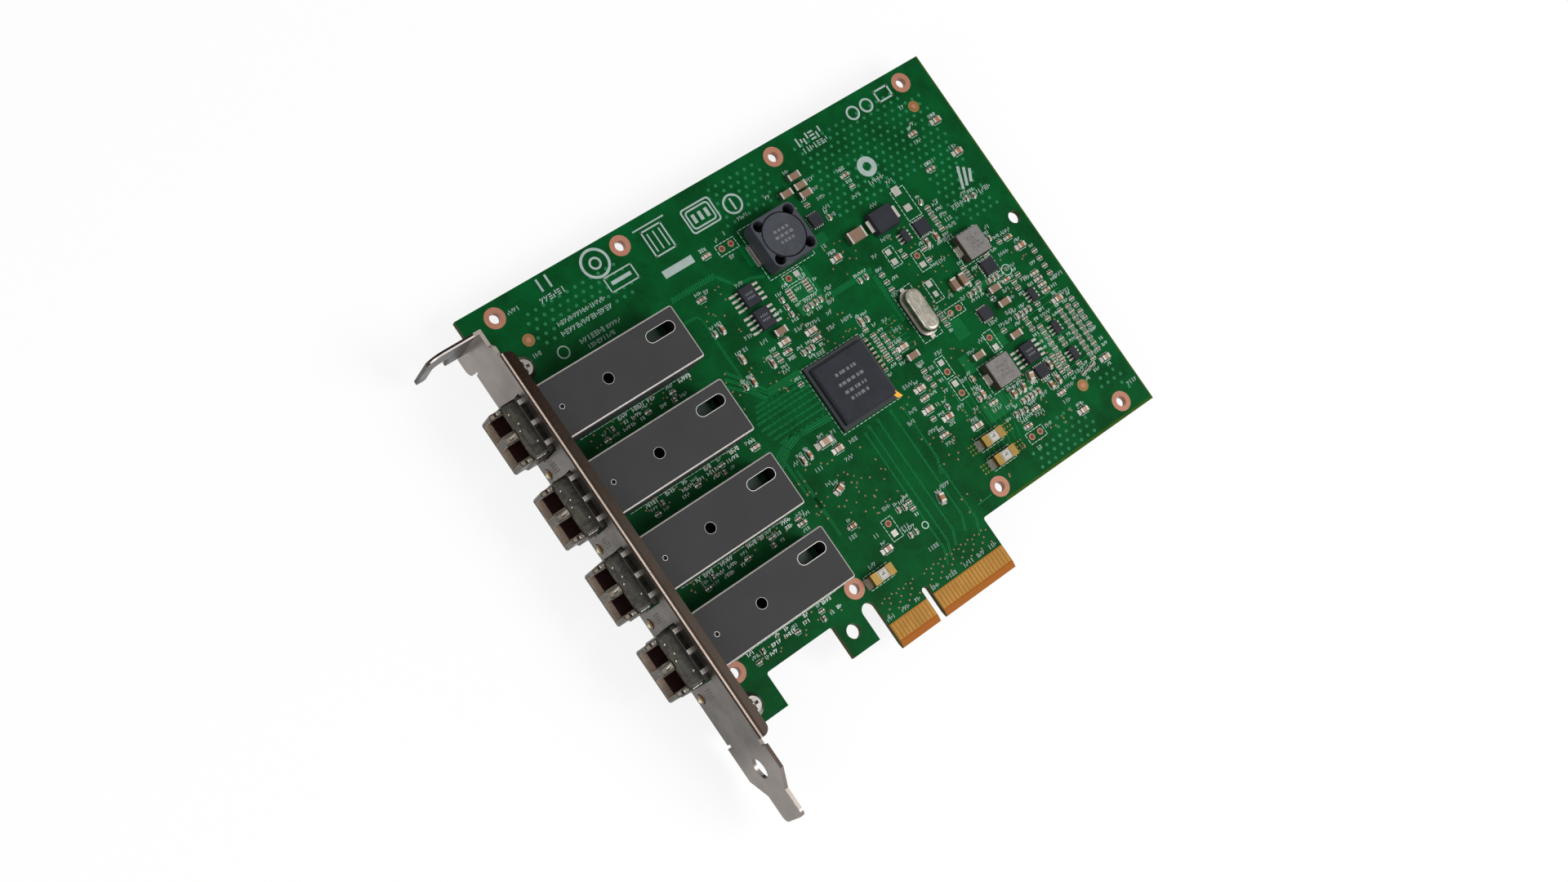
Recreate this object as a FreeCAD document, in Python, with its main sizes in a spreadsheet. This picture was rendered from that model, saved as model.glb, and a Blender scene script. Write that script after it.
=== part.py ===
"""Quad-port fibre network interface card, as a parametric FreeCAD document.

Frame: millimetres. The origin is the centre of the key notch at the bottom edge of the edge
contacts, in the middle of the board's thickness. +X runs away from the bracket along the board,
+Y up the card from the contacts, +Z out of the component side.
"""
import FreeCAD
import Part

import math
import os
import re

import Sketcher
from FreeCAD import Rotation, Vector

doc = FreeCAD.newDocument("network_interface_card")
sheet = doc.addObject("Spreadsheet::Sheet", "sizes")

SIZES = {
    # circuit board
    "board_thickness": 1.57,
    "board_height": 111.15,
    "board_end": 77.88,
    "board_base": 13.05,
    "board_gap": 0.09,
    "key_width": 1.9,
    "key_depth": 8.3,
    "tongue_left": 12.15,
    "tongue_right": 22.15,
    "tongue_round": 0.6,
    "bevel_rise": 1.3,
    "bevel_depth": 0.42,
    "relief_width": 3.75,
    "relief_top": 12.8,
    "hook_width": 7.5,
    "hook_bottom": 4.5,
    "foot_width": 13.9,
    "foot_bottom": 4.55,
    "hook_hole_x": 19.95,
    "hook_hole_y": 9.3,
    "hook_hole_radius": 1.72,
    "edge_hole_x": 74.85,
    "edge_hole_y": 66.5,
    "edge_hole_radius": 1.6,
    # plated holes, four columns and two rows
    "plated_hole_radius": 1.25,
    "plating_wall": 0.1,
    "plating_proud": 0.05,
    "ring_radius": 2.45,
    "ring_column_1": -48.1,
    "ring_column_2": -14.15,
    "ring_column_3": 30.25,
    "ring_column_4": 70.0,
    "ring_inset": 3.65,
    # edge contacts
    "contact_pitch": 1.0,
    "contact_width": 0.7,
    "contact_low": 0.45,
    "contact_high": 5.6,
    "contact_proud": 0.05,
    "first_contact": 11.5,
    "second_row_start": 1.5,
    # bracket
    "bracket_datum": 57.15,
    "bracket_sheet": 0.86,
    "bracket_back": -3.53,
    "bracket_width": 18.42,
    "bend_outside": 1.2,
    "flange_depth": 2.8,
    "flange_under": 5.95,
    "flange_over": 3.2,
    "flange_round": 1.9,
    "top_inset": 3.59,
    "top_rise": 4.0,
    "neck_gap": 3.2,
    "shoulder_inset": 1.79,
    "shoulder_slant": 1.0,
    "relief_gap": 0.7,
    "ear_back": -7.75,
    "ear_gap": 2.2,
    "ear_round": 2.5,
    "tail_gap": 1.55,
    "notch_gap": 1.05,
    "tail_back": -4.65,
    "tail_inset": 0.59,
    "tail_length": 5.7,
    "tail_taper": 4.4,
    "tip_back": -0.35,
    "tip_width": 10.19,
    "tip_length": 6.6,
    "tip_round": 1.6,
    "tail_hole_z": 4.6,
    "tail_hole_rise": 1.65,
    "tail_hole_radius": 2.45,
    "tab_reach": 12.3,
    "tab_inset": 3.29,
    "tab_back": -1.7,
    "tab_prong_back": -4.4,
    "tab_round": 3.6,
    "tab_slot_width": 4.42,
    "tab_slot_centre": 7.6,
    "tab_slot_end": 4.6,
    "port_cut_gap": 0.39,
    "port_cut_low": 0.05,
    "port_cut_rise": 0.35,
    # bracket ears under the board, their clinch nuts and screws
    "screw_setback": 7.55,
    "screw_drop": 16.52,
    "screw_rise": 12.13,
    "screw_radius": 1.45,
    "screw_clearance": 0.15,
    "screw_tail": 0.4,
    "head_radius": 2.85,
    "head_height": 1.9,
    "head_rim": 0.85,
    "head_crown": 1.88,
    "recess_radius": 1.35,
    "recess_arm": 0.35,
    "recess_depth": 1.1,
    "mount_ear_width": 7.0,
    "mount_ear_reach": 11.15,
    "nut_radius": 2.6,
    "nut_gap": 0.02,
    # optical transceivers
    "module_first": 25.62,
    "module_pitch": 19.05,
    "module_width": 13.4,
    "shield_top": 9.77,
    "shield_sheet": 0.3,
    "shield_gap": 0.24,
    "shield_length": 39.4,
    "shield_seat": 0.1,
    "shield_round": 0.7,
    "shield_bend": 0.45,
    "vent_setback": 17.7,
    "vent_radius": 1.25,
    "pin_mark_setback": 5.45,
    "pin_mark_radius": 0.5,
    "window_setback": 33.7,
    "window_y": 2.7,
    "window_length": 7.3,
    "window_width": 2.6,
    "collar_length": 3.5,
    "collar_width": 13.6,
    "collar_low": 0.5,
    "collar_drop": 0.17,
    "collar_round": 1.0,
    "neck_length": 2.35,
    "neck_width": 12.9,
    "neck_inset": 0.35,
    "nose_length": 3.1,
    "nose_width": 12.8,
    "nose_low": 2.45,
    "nose_drop": 1.05,
    "holder_length": 6.05,
    "holder_clearance": 0.2,
    "port_spacing": 6.25,
    "port_width": 4.6,
    "port_sill": 0.75,
    "port_roof": 0.4,
    "port_depth": 8.4,
    "port_wall": 1.6,
    "port_chamfer": 0.35,
    "latch_overlap": 0.1,
    "barrel_radius": 2.5,
    "barrel_clearance": 0.05,
    "sleeve_radius": 1.2,
    "sleeve_length": 3.4,
    "unit_can_length": 2.4,
    "unit_can_radius": 2.1,
    "gasket_sheet": 0.18,
    "gasket_clearance": 0.03,
    "gasket_finger": 1.3,
    "inner_board_gap": 0.2,
    "inner_board_length": 28.8,
    "inner_board_low": 3.1,
    "inner_board_thickness": 1.0,
    "inner_board_width": 11.4,
    "driver_size": 3.6,
    "driver_height": 0.9,
    "signal_pin_radius": 0.23,
    "signal_pin_clearance": 0.12,
    "signal_pin_pitch": 1.78,
    "signal_pin_rows": 10.16,
    "signal_pin_setback": 22.05,
    "post_radius": 0.55,
    "post_setback": 10.05,
    "post_rows": 10.2,
    "pin_tail": 0.9,
    # port indicators at the board's edge
    "led_offset": -9.47,
    "led_z": -0.85,
    "led_hole_radius": 1.25,
    "led_lens_radius": 1.05,
    "led_lens_proud": 0.15,
    "led_body_length": 3.4,
    "led_body_width": 2.8,
    "led_body_height": 1.6,
    # controller chip
    "chip_x": 13.6,
    "chip_y": 54.45,
    "package_size": 16.6,
    "package_height": 0.7,
    "package_gap": 0.3,
    "cap_size": 14.7,
    "cap_height": 1.15,
    "cap_chamfer": 0.45,
    # shielded power inductor
    "choke_x": 18.35,
    "choke_drop": 20.85,
    "choke_size": 12.2,
    "choke_height": 5.4,
    "choke_round": 1.6,
    "choke_base": 0.5,
    "choke_bore_radius": 5.45,
    "choke_corner_radius": 1.35,
    "choke_corner_offset": 4.35,
    "core_radius": 5.15,
    "core_flange": 1.1,
    "core_hub_radius": 2.4,
    "winding_radius": 4.5,
    "choke_lead_reach": 1.6,
    "choke_lead_width": 4.6,
    "choke_lead_sheet": 0.25,
    # moulded power inductors
    "coil_size": 6.7,
    "coil_height": 2.9,
    "coil_round": 0.35,
    "coil_lead_width": 3.0,
    "coil_lead_sheet": 0.2,
    "coil_lead_tuck": 1.2,
    "coil_lead_out": 0.6,
    "coil_1_x": 59.9,
    "coil_1_y": 66.4,
    "coil_2_x": 46.9,
    "coil_2_y": 38.1,
    # crystal
    "crystal_x": 38.1,
    "crystal_y": 59.7,
    "can_length": 11.2,
    "can_width": 4.5,
    "can_height": 3.5,
    "can_round": 0.9,
    "crystal_base_height": 0.55,
    "crystal_base_margin": 0.35,
    "crystal_base_flat": 0.4,
    "crystal_lead_length": 1.4,
    "crystal_lead_tuck": 0.7,
    "crystal_lead_width": 1.2,
    "crystal_lead_sheet": 0.25,
    # eight-lead chips
    "soic_length": 4.9,
    "soic_width": 3.9,
    "soic_height": 1.45,
    "soic_gap": 0.15,
    "soic_draft": 0.12,
    "soic_span": 6.0,
    "lead_pitch": 1.27,
    "lead_width": 0.42,
    "lead_sheet": 0.2,
    "lead_foot": 0.6,
    "flash_x": 4.6,
    "flash_1_y": 83.05,
    "flash_2_y": 77.15,
    "switch_x": 56.3,
    "switch_y": 38.0,
    # power diode
    "diode_x": 44.1,
    "diode_drop": 29.05,
    "diode_length": 6.8,
    "diode_width": 5.7,
    "diode_height": 2.1,
    "diode_draft": 0.3,
    "diode_tab_length": 1.0,
    "diode_tab_width": 3.0,
    "diode_tab_height": 1.2,
    # fuses
    "fuse_length": 6.1,
    "fuse_width": 2.69,
    "fuse_cap": 1.75,
    "fuse_skin": 0.12,
    "fuse_right_x": 34.9,
    "fuse_1_y": 26.8,
    "fuse_2_y": 21.75,
    "fuse_3_x": -7.6,
    "fuse_3_y": 15.75,
    # block capacitors
    "block_length": 3.2,
    "block_width": 1.65,
    "block_height": 1.5,
    "block_end": 0.45,
    "block_skin": 0.06,
    "bulk_length": 4.5,
    "bulk_width": 2.9,
    "bulk_height": 1.7,
    "bulk_offset": 8.2,
    # block capacitors beside the shielded inductor, from its middle
    "input_1_x": 8.65,
    "input_1_y": 8.15,
    "input_2_x": 12.85,
    "input_2_y": 10.8,
    "input_3_x": 12.85,
    "input_3_y": 8.25,
    "input_4_x": 12.85,
    "input_4_y": 6.0,
    # block capacitors elsewhere, from the key notch
    "block_1_x": 6.1,
    "block_1_y": 72.7,
    "block_2_x": 50.2,
    "block_3_x": 52.8,
    "block_pair_y": 60.5,
    "block_4_x": 30.3,
    "block_4_y": 52.1,
    "block_5_x": 58.3,
    "block_5_y": 54.8,
    "block_6_y": 50.9,
    "block_7_x": 44.5,
    "block_7_y": 43.9,
    "block_8_x": 56.0,
    "block_8_y": 43.2,
    # small flat chips: their middles and their three kinds of case
    "gate_driver_x": 11.45,
    "gate_driver_y": -0.2,
    "regulator_1_x": 52.1,
    "regulator_1_y": 75.9,
    "regulator_2_x": 61.0,
    "regulator_2_y": 59.9,
    "regulator_3_x": 52.8,
    "regulator_3_y": 51.2,
    "regulator_4_x": 56.6,
    "regulator_4_y": 32.9,
    "small_1_x": 46.8,
    "small_1_y": 76.1,
    "small_2_x": 66.3,
    "small_2_y": 48.9,
    "small_3_x": 66.5,
    "small_3_y": 39.4,
    "small_4_y": 32.2,
    "square_side": 3.1,
    "square_height": 0.9,
    "wide_side": 3.6,
    "wide_height": 0.8,
    "small_length": 3.0,
    "small_width": 1.7,
    "small_height": 1.0,
    # allowances: how far a cutting tool runs past, and how far a round end stops short of full
    "cut_over": 0.5,
    "round_slack": 0.02,
}

for row, (alias, value) in enumerate(SIZES.items(), start=1):
    sheet.set(f"A{row}", alias)
    sheet.set(f"B{row}", str(value))
    sheet.setAlias(f"B{row}", alias)
doc.recompute()


# ---------------------------------------------------------------- helpers

def cell(expression):
    """Turn the size names in an expression into references to the sheet's cells."""
    return re.sub(r"[a-z][a-z0-9_]*",
                  lambda word: "sizes." + word.group() if word.group() in SIZES else word.group(),
                  expression)


def value(expression):
    """The present value of an expression in the sheet's names."""
    return float(sheet.evalExpression(expression))


def bind(item, **properties):
    """Bind properties of an object to expressions."""
    for name, expression in properties.items():
        item.setExpression(name, cell(expression))


def place(item, x="0", y="0", z="0"):
    """Bind an object's position to expressions."""
    for axis, expression in (("x", x), ("y", y), ("z", z)):
        item.setExpression(f".Placement.Base.{axis}", cell(expression))


def block(name, x, y, z, length, width, height):
    """A Part box that starts at x, y, z."""
    item = doc.addObject("Part::Box", name)
    bind(item, Length=length, Width=width, Height=height)
    place(item, x, y, z)
    return item


def centred_block(name, x, y, z, length, width, height):
    """A Part box centred on x and y that stands on z."""
    return block(name, f"({x}) - ({length}) / 2", f"({y}) - ({width}) / 2", z, length, width, height)


def rod(name, x, y, z, radius, height, direction=Vector(0, 0, 1)):
    """A Part cylinder from x, y, z along a direction."""
    item = doc.addObject("Part::Cylinder", name)
    bind(item, Radius=radius, Height=height)
    item.Placement = FreeCAD.Placement(Vector(), Rotation(Vector(0, 0, 1), direction))
    place(item, x, y, z)
    return item


def cut(name, base, tool):
    """One shape less another."""
    item = doc.addObject("Part::Cut", name)
    item.Base = base
    item.Tool = tool
    return item


def fuse(name, items):
    """Several shapes as one."""
    item = doc.addObject("Part::MultiFuse", name)
    item.Shapes = items
    item.Refine = True
    return item


def group(name, items):
    """Separate solids that share a node."""
    item = doc.addObject("Part::Compound", name)
    item.Links = items
    return item


def body(name):
    """An empty PartDesign body."""
    return doc.addObject("PartDesign::Body", name)


def sketch_on(owner, role, name, offset="0"):
    """A sketch on one of a body's own origin planes, moved along the plane's normal."""
    plane = next(item for item in owner.Origin.OriginFeatures if item.Role == role)
    sketch = owner.newObject("Sketcher::SketchObject", name)
    sketch.AttachmentSupport = [(plane, "")]
    sketch.MapMode = "FlatFace"
    sketch.setExpression("AttachmentOffset.Base.z", cell(offset))
    return sketch


def hold(sketch, curve, vertex, x, y):
    """Fix a point of a sketch at two bound distances from the origin."""
    for kind, expression in (("DistanceX", x), ("DistanceY", y)):
        index = sketch.addConstraint(
            Sketcher.Constraint(kind, -1, 1, curve, vertex, value(expression)))
        sketch.setExpression(f"Constraints[{index}]", cell(expression))


def outline(sketch, corners):
    """A closed run of straight lines through corners given as expressions."""
    points = [Vector(value(x), value(y), 0) for x, y in corners]
    first = sketch.GeometryCount
    count = len(points)
    for index in range(count):
        sketch.addGeometry(Part.LineSegment(points[index], points[(index + 1) % count]), False)
    for index in range(count):
        following = first + (index + 1) % count
        sketch.addConstraint(Sketcher.Constraint("Coincident", first + index, 2, following, 1))
    for index, (x, y) in enumerate(corners):
        hold(sketch, first + index, 1, x, y)


def rectangle(sketch, x_low, y_low, x_high, y_high):
    """A rectangle between two corners."""
    outline(sketch, [(x_low, y_low), (x_high, y_low), (x_high, y_high), (x_low, y_high)])


def circle(sketch, x, y, radius):
    """A circle with a bound centre and radius."""
    centre = Vector(value(x), value(y), 0)
    index = sketch.addGeometry(Part.Circle(centre, Vector(0, 0, 1), value(radius)), False)
    hold(sketch, index, 3, x, y)
    held = sketch.addConstraint(Sketcher.Constraint("Radius", index, value(radius)))
    sketch.setExpression(f"Constraints[{held}]", cell(radius))


def obround(sketch, x, y, length, width):
    """A slot along the sketch's x axis, with round ends."""
    radius = f"({width}) / 2"
    reach = f"(({length}) - ({width})) / 2"
    centres = [(f"({x}) + {reach}", y), (f"({x}) - {reach}", y)]
    start = sketch.GeometryCount
    for side, (cx, cy) in enumerate(centres):
        turn = math.pi * (side - 0.5)
        ring = Part.Circle(Vector(value(cx), value(cy), 0), Vector(0, 0, 1), value(radius))
        sketch.addGeometry(Part.ArcOfCircle(ring, turn, turn + math.pi), False)
    right = value(centres[0][0])
    left = value(centres[1][0])
    top = value(f"({y}) + {radius}")
    bottom = value(f"({y}) - {radius}")
    sketch.addGeometry(Part.LineSegment(Vector(right, top, 0), Vector(left, top, 0)), False)
    sketch.addGeometry(Part.LineSegment(Vector(left, bottom, 0), Vector(right, bottom, 0)), False)
    for a, a_end, b, b_end in ((0, 2, 2, 1), (2, 2, 1, 1), (1, 2, 3, 1), (3, 2, 0, 1)):
        sketch.addConstraint(Sketcher.Constraint("Tangent", start + a, a_end, start + b, b_end))
    for side, (cx, cy) in enumerate(centres):
        hold(sketch, start + side, 3, cx, cy)
    held = sketch.addConstraint(Sketcher.Constraint("Radius", start, value(radius)))
    sketch.setExpression(f"Constraints[{held}]", cell(radius))


def pad(owner, sketch, name, length, backwards=False, middle=False):
    """A pad of a sketch, by a bound length."""
    feature = owner.newObject("PartDesign::Pad", name)
    feature.Profile = sketch
    feature.Reversed = backwards
    feature.Midplane = middle
    feature.setExpression("Length", cell(length))
    return feature


def pocket(owner, sketch, name, length=None, backwards=False):
    """A pocket by a bound depth, or both ways through everything; it has to take material."""
    doc.recompute()
    before = owner.Shape.Volume
    feature = owner.newObject("PartDesign::Pocket", name)
    feature.Profile = sketch
    feature.Reversed = backwards
    if length is None:
        feature.Type = "ThroughAll"
        feature.Midplane = True
    else:
        feature.setExpression("Length", cell(length))
    doc.recompute()
    if owner.Shape.Volume >= before:
        raise ValueError(f"{name} cuts nothing")
    return feature


def edges_where(item, test):
    """Names of an object's edges whose middle and direction pass a test."""
    names = []
    for number, edge in enumerate(item.Shape.Edges, start=1):
        ends = [vertex.Point for vertex in edge.Vertexes]
        if len(ends) == 2 and ends[0].distanceToPoint(ends[1]) > 1e-6:
            run = (ends[1] - ends[0]).normalize()
            if test((ends[0] + ends[1]) / 2, run):
                names.append(f"Edge{number}")
    return names


def near(first, second):
    """Whether two places coincide."""
    return abs(first - second) < 1e-4


def upright_edges(item, spots):
    """Edges along Z at the given x, y places."""
    places = [(value(x), value(y)) for x, y in spots]
    return edges_where(item, lambda middle, run: near(abs(run.z), 1) and any(
        near(middle.x, x) and near(middle.y, y) for x, y in places))


def dress(owner, kind, name, edges, size):
    """A fillet or chamfer on a body's present tip."""
    if not edges:
        raise ValueError(f"{name} finds no edge")
    feature = owner.newObject(f"PartDesign::{kind}", name)
    feature.Base = (feature.BaseFeature, edges)
    feature.setExpression("Radius" if kind == "Fillet" else "Size", cell(size))
    return feature


MODULES = range(4)
CONTACTS_BEFORE_KEY = 11
CONTACTS_AFTER_KEY = 21


def module_line(index):
    """The centre line of one transceiver."""
    return f"(module_first + {index} * module_pitch)"


# Levels and faces that several parts share. Distances towards the bracket are positive.
TOP = "board_thickness / 2"
UNDER = "(0 - board_thickness / 2)"
OUTSIDE = "(0 - bracket_datum)"
INSIDE = "(bracket_sheet - bracket_datum)"

SCREW_LOW = "(module_first - screw_drop)"
SCREW_HIGH = f"({module_line(MODULES[-1])} + screw_rise)"
FRONT = "(bracket_back + bracket_width)"
FLANGE_LOW = f"({SCREW_LOW} - flange_under)"
FLANGE_HIGH = f"({SCREW_HIGH} + flange_over)"
NECK_LOW = f"({FLANGE_HIGH} + neck_gap)"
BRACKET_TOP = f"({NECK_LOW} + top_rise)"
EAR_LOW = f"({FLANGE_HIGH} + ear_gap)"
TAIL_HIGH = f"({FLANGE_LOW} - tail_gap)"
TAIL_LOW = f"({TAIL_HIGH} - tail_length)"
TIP_HIGH = f"({TAIL_LOW} - tail_taper)"
TIP_LOW = f"({TIP_HIGH} - tip_length)"

SHIELD_FRONT = "(bracket_datum - bracket_sheet - shield_gap)"
SHIELD_REAR = f"({SHIELD_FRONT} - shield_length)"
COLLAR_REAR = f"({SHIELD_FRONT} + neck_length)"
COLLAR_FRONT = f"({COLLAR_REAR} + collar_length)"
COLLAR_HIGH = "(shield_top - collar_drop)"
NOSE_FRONT = f"({COLLAR_FRONT} + nose_length)"
NOSE_HIGH = f"({COLLAR_HIGH} - nose_drop)"
PORT_FLOOR = "(nose_low + port_sill)"
PORT_CEILING = f"({NOSE_HIGH} - port_roof)"
PORT_AXIS = f"(({PORT_FLOOR} + {PORT_CEILING}) / 2)"
PORT_BACK = f"({NOSE_FRONT} - port_depth)"
BARREL_BACK = f"({PORT_BACK} - port_wall)"
HOLDER_REAR = f"({SHIELD_FRONT} - holder_length)"
UNIT_REAR = f"({HOLDER_REAR} - unit_can_length)"
INNER_BOARD_FRONT = f"({UNIT_REAR} - inner_board_gap)"
VENT_X = f"({SHIELD_FRONT} - vent_setback)"
WINDOW_X = f"({SHIELD_FRONT} - window_setback)"

CHOKE_Y = "(board_height - choke_drop)"
DIODE_Y = "(board_height - diode_drop)"


# ---------------------------------------------------------------- circuit board

RING_SPOTS = [(column, row)
              for column in ("ring_column_1", "ring_column_2", "ring_column_3", "ring_column_4")
              for row in ("(board_base + ring_inset)", "(board_height - ring_inset)")]
SCREW_X = "(screw_setback - bracket_datum)"
SCREW_SPOTS = [(SCREW_X, SCREW_LOW), (SCREW_X, SCREW_HIGH)]
# Each transceiver's pins: x, y from its centre line and radius, five to a side and one post.
PIN_SPOTS = [(f"{count} * signal_pin_pitch + signal_pin_setback - {SHIELD_FRONT}",
              f"(0 {side} signal_pin_rows / 2)", "signal_pin_radius")
             for side in "-+" for count in range(5)]
PIN_SPOTS += [(f"post_setback - {SHIELD_FRONT}", f"(0 {side} post_rows / 2)", "post_radius")
              for side in "-+"]


def make_board():
    """The board: outline with its tongue, key notch, retention hook and foot, then its holes."""
    board = body("circuit_board")
    left = f"({INSIDE} + board_gap)"
    hook_right = "(0 - tongue_left - relief_width)"
    corners = [
        ("tongue_right", "0"),
        ("tongue_right", "board_base"),
        ("board_end", "board_base"),
        ("board_end", "board_height"),
        (left, "board_height"),
        (left, "foot_bottom"),
        (f"{left} + foot_width", "foot_bottom"),
        (f"{left} + foot_width", "relief_top"),
        (f"{hook_right} - hook_width", "relief_top"),
        (f"{hook_right} - hook_width", "hook_bottom"),
        (hook_right, "hook_bottom"),
        (hook_right, "relief_top"),
        ("0 - tongue_left", "relief_top"),
        ("0 - tongue_left", "0"),
        ("0 - key_width / 2", "0"),
        ("0 - key_width / 2", "key_depth"),
        ("key_width / 2", "key_depth"),
        ("key_width / 2", "0"),
    ]
    sketch = sketch_on(board, "XY_Plane", "board_outline", UNDER)
    outline(sketch, corners)
    pad(board, sketch, "board_sheet", "board_thickness")

    bevel = sketch_on(board, "YZ_Plane", "tongue_bevel", "0 - tongue_left - cut_over")
    for side in ("", "0 - "):
        face = f"{side}(board_thickness / 2)"
        tip = f"{side}(board_thickness / 2 - bevel_depth)"
        past = f"{side}(board_thickness / 2 + cut_over)"
        outline(bevel, [("0 - cut_over", tip), ("0", tip), ("bevel_rise", face),
                        ("bevel_rise", past), ("0 - cut_over", past)])
    pocket(board, bevel, "board_bevel", "tongue_left + tongue_right + 2 * cut_over",
           backwards=True)

    holes = sketch_on(board, "XY_Plane", "board_holes")
    circle(holes, "0 - hook_hole_x", "hook_hole_y", "hook_hole_radius")
    circle(holes, "edge_hole_x", "edge_hole_y", "edge_hole_radius")
    for x, y in RING_SPOTS:
        circle(holes, x, y, "plated_hole_radius + plating_wall")
    for x, y in SCREW_SPOTS:
        circle(holes, x, y, "screw_radius + screw_clearance")
    pocket(board, holes, "board_drilling")

    footprint = sketch_on(board, "XY_Plane", "transceiver_footprint")
    for x, y, radius in PIN_SPOTS:
        circle(footprint, x, f"module_first + {y}", f"{radius} + signal_pin_clearance")
    drilled = pocket(board, footprint, "transceiver_drilling")
    rows = board.newObject("PartDesign::LinearPattern", "transceiver_drillings")
    rows.Originals = [drilled]
    rows.Direction = (footprint, ["V_Axis"])
    rows.setExpression("Length", cell(f"{len(MODULES) - 1} * module_pitch"))
    rows.Occurrences = len(MODULES)
    board.Tip = rows
    doc.recompute()

    slot_ends = [(hook_right, "relief_top"), ("0 - tongue_left", "relief_top")]
    dress(board, "Fillet", "relief_end", upright_edges(board, slot_ends),
          "relief_width / 2 - round_slack")
    doc.recompute()
    key_ends = [("0 - key_width / 2", "key_depth"), ("key_width / 2", "key_depth")]
    dress(board, "Fillet", "key_end", upright_edges(board, key_ends), "key_width / 2 - round_slack")
    doc.recompute()
    inside_corners = [("tongue_right", "board_base"), (f"{left} + foot_width", "relief_top"),
                      (f"{hook_right} - hook_width", "relief_top")]
    dress(board, "Fillet", "tool_corners", upright_edges(board, inside_corners), "tongue_round")
    return board


def make_hole_plating():
    """Plated barrels with a ring on both faces."""
    rings = []
    for number, (x, y) in enumerate(RING_SPOTS, start=1):
        low = f"({UNDER} - plating_proud)"
        barrel = rod(f"plating_barrel_{number}", x, y, low, "plated_hole_radius + plating_wall",
                     "board_thickness + 2 * plating_proud")
        ring_low = rod(f"plating_ring_low_{number}", x, y, low, "ring_radius", "plating_proud")
        ring_high = rod(f"plating_ring_high_{number}", x, y, TOP, "ring_radius", "plating_proud")
        spool = fuse(f"plating_spool_{number}", [barrel, ring_low, ring_high])
        bore = rod(f"plating_bore_{number}", x, y, f"{low} - cut_over", "plated_hole_radius",
                   "board_thickness + 2 * plating_proud + 2 * cut_over")
        rings.append(cut(f"plating_{number}", spool, bore))
    return group("hole_plating", rings)


def make_edge_contacts():
    """Gold contacts on both faces, in the two groups that the key notch parts."""
    pads = []
    starts = [("0 - first_contact", CONTACTS_BEFORE_KEY), ("second_row_start", CONTACTS_AFTER_KEY)]
    for face, low in (("top", TOP), ("under", f"{UNDER} - contact_proud")):
        for start, count in starts:
            for index in range(count):
                pads.append(block(f"contact_{face}_{len(pads)}",
                                  f"{start} + {index} * contact_pitch - contact_width / 2",
                                  "bevel_rise + contact_low", low, "contact_width",
                                  "contact_high - contact_low - bevel_rise", "contact_proud"))
    return group("edge_contacts", pads)


# ---------------------------------------------------------------- bracket

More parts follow.
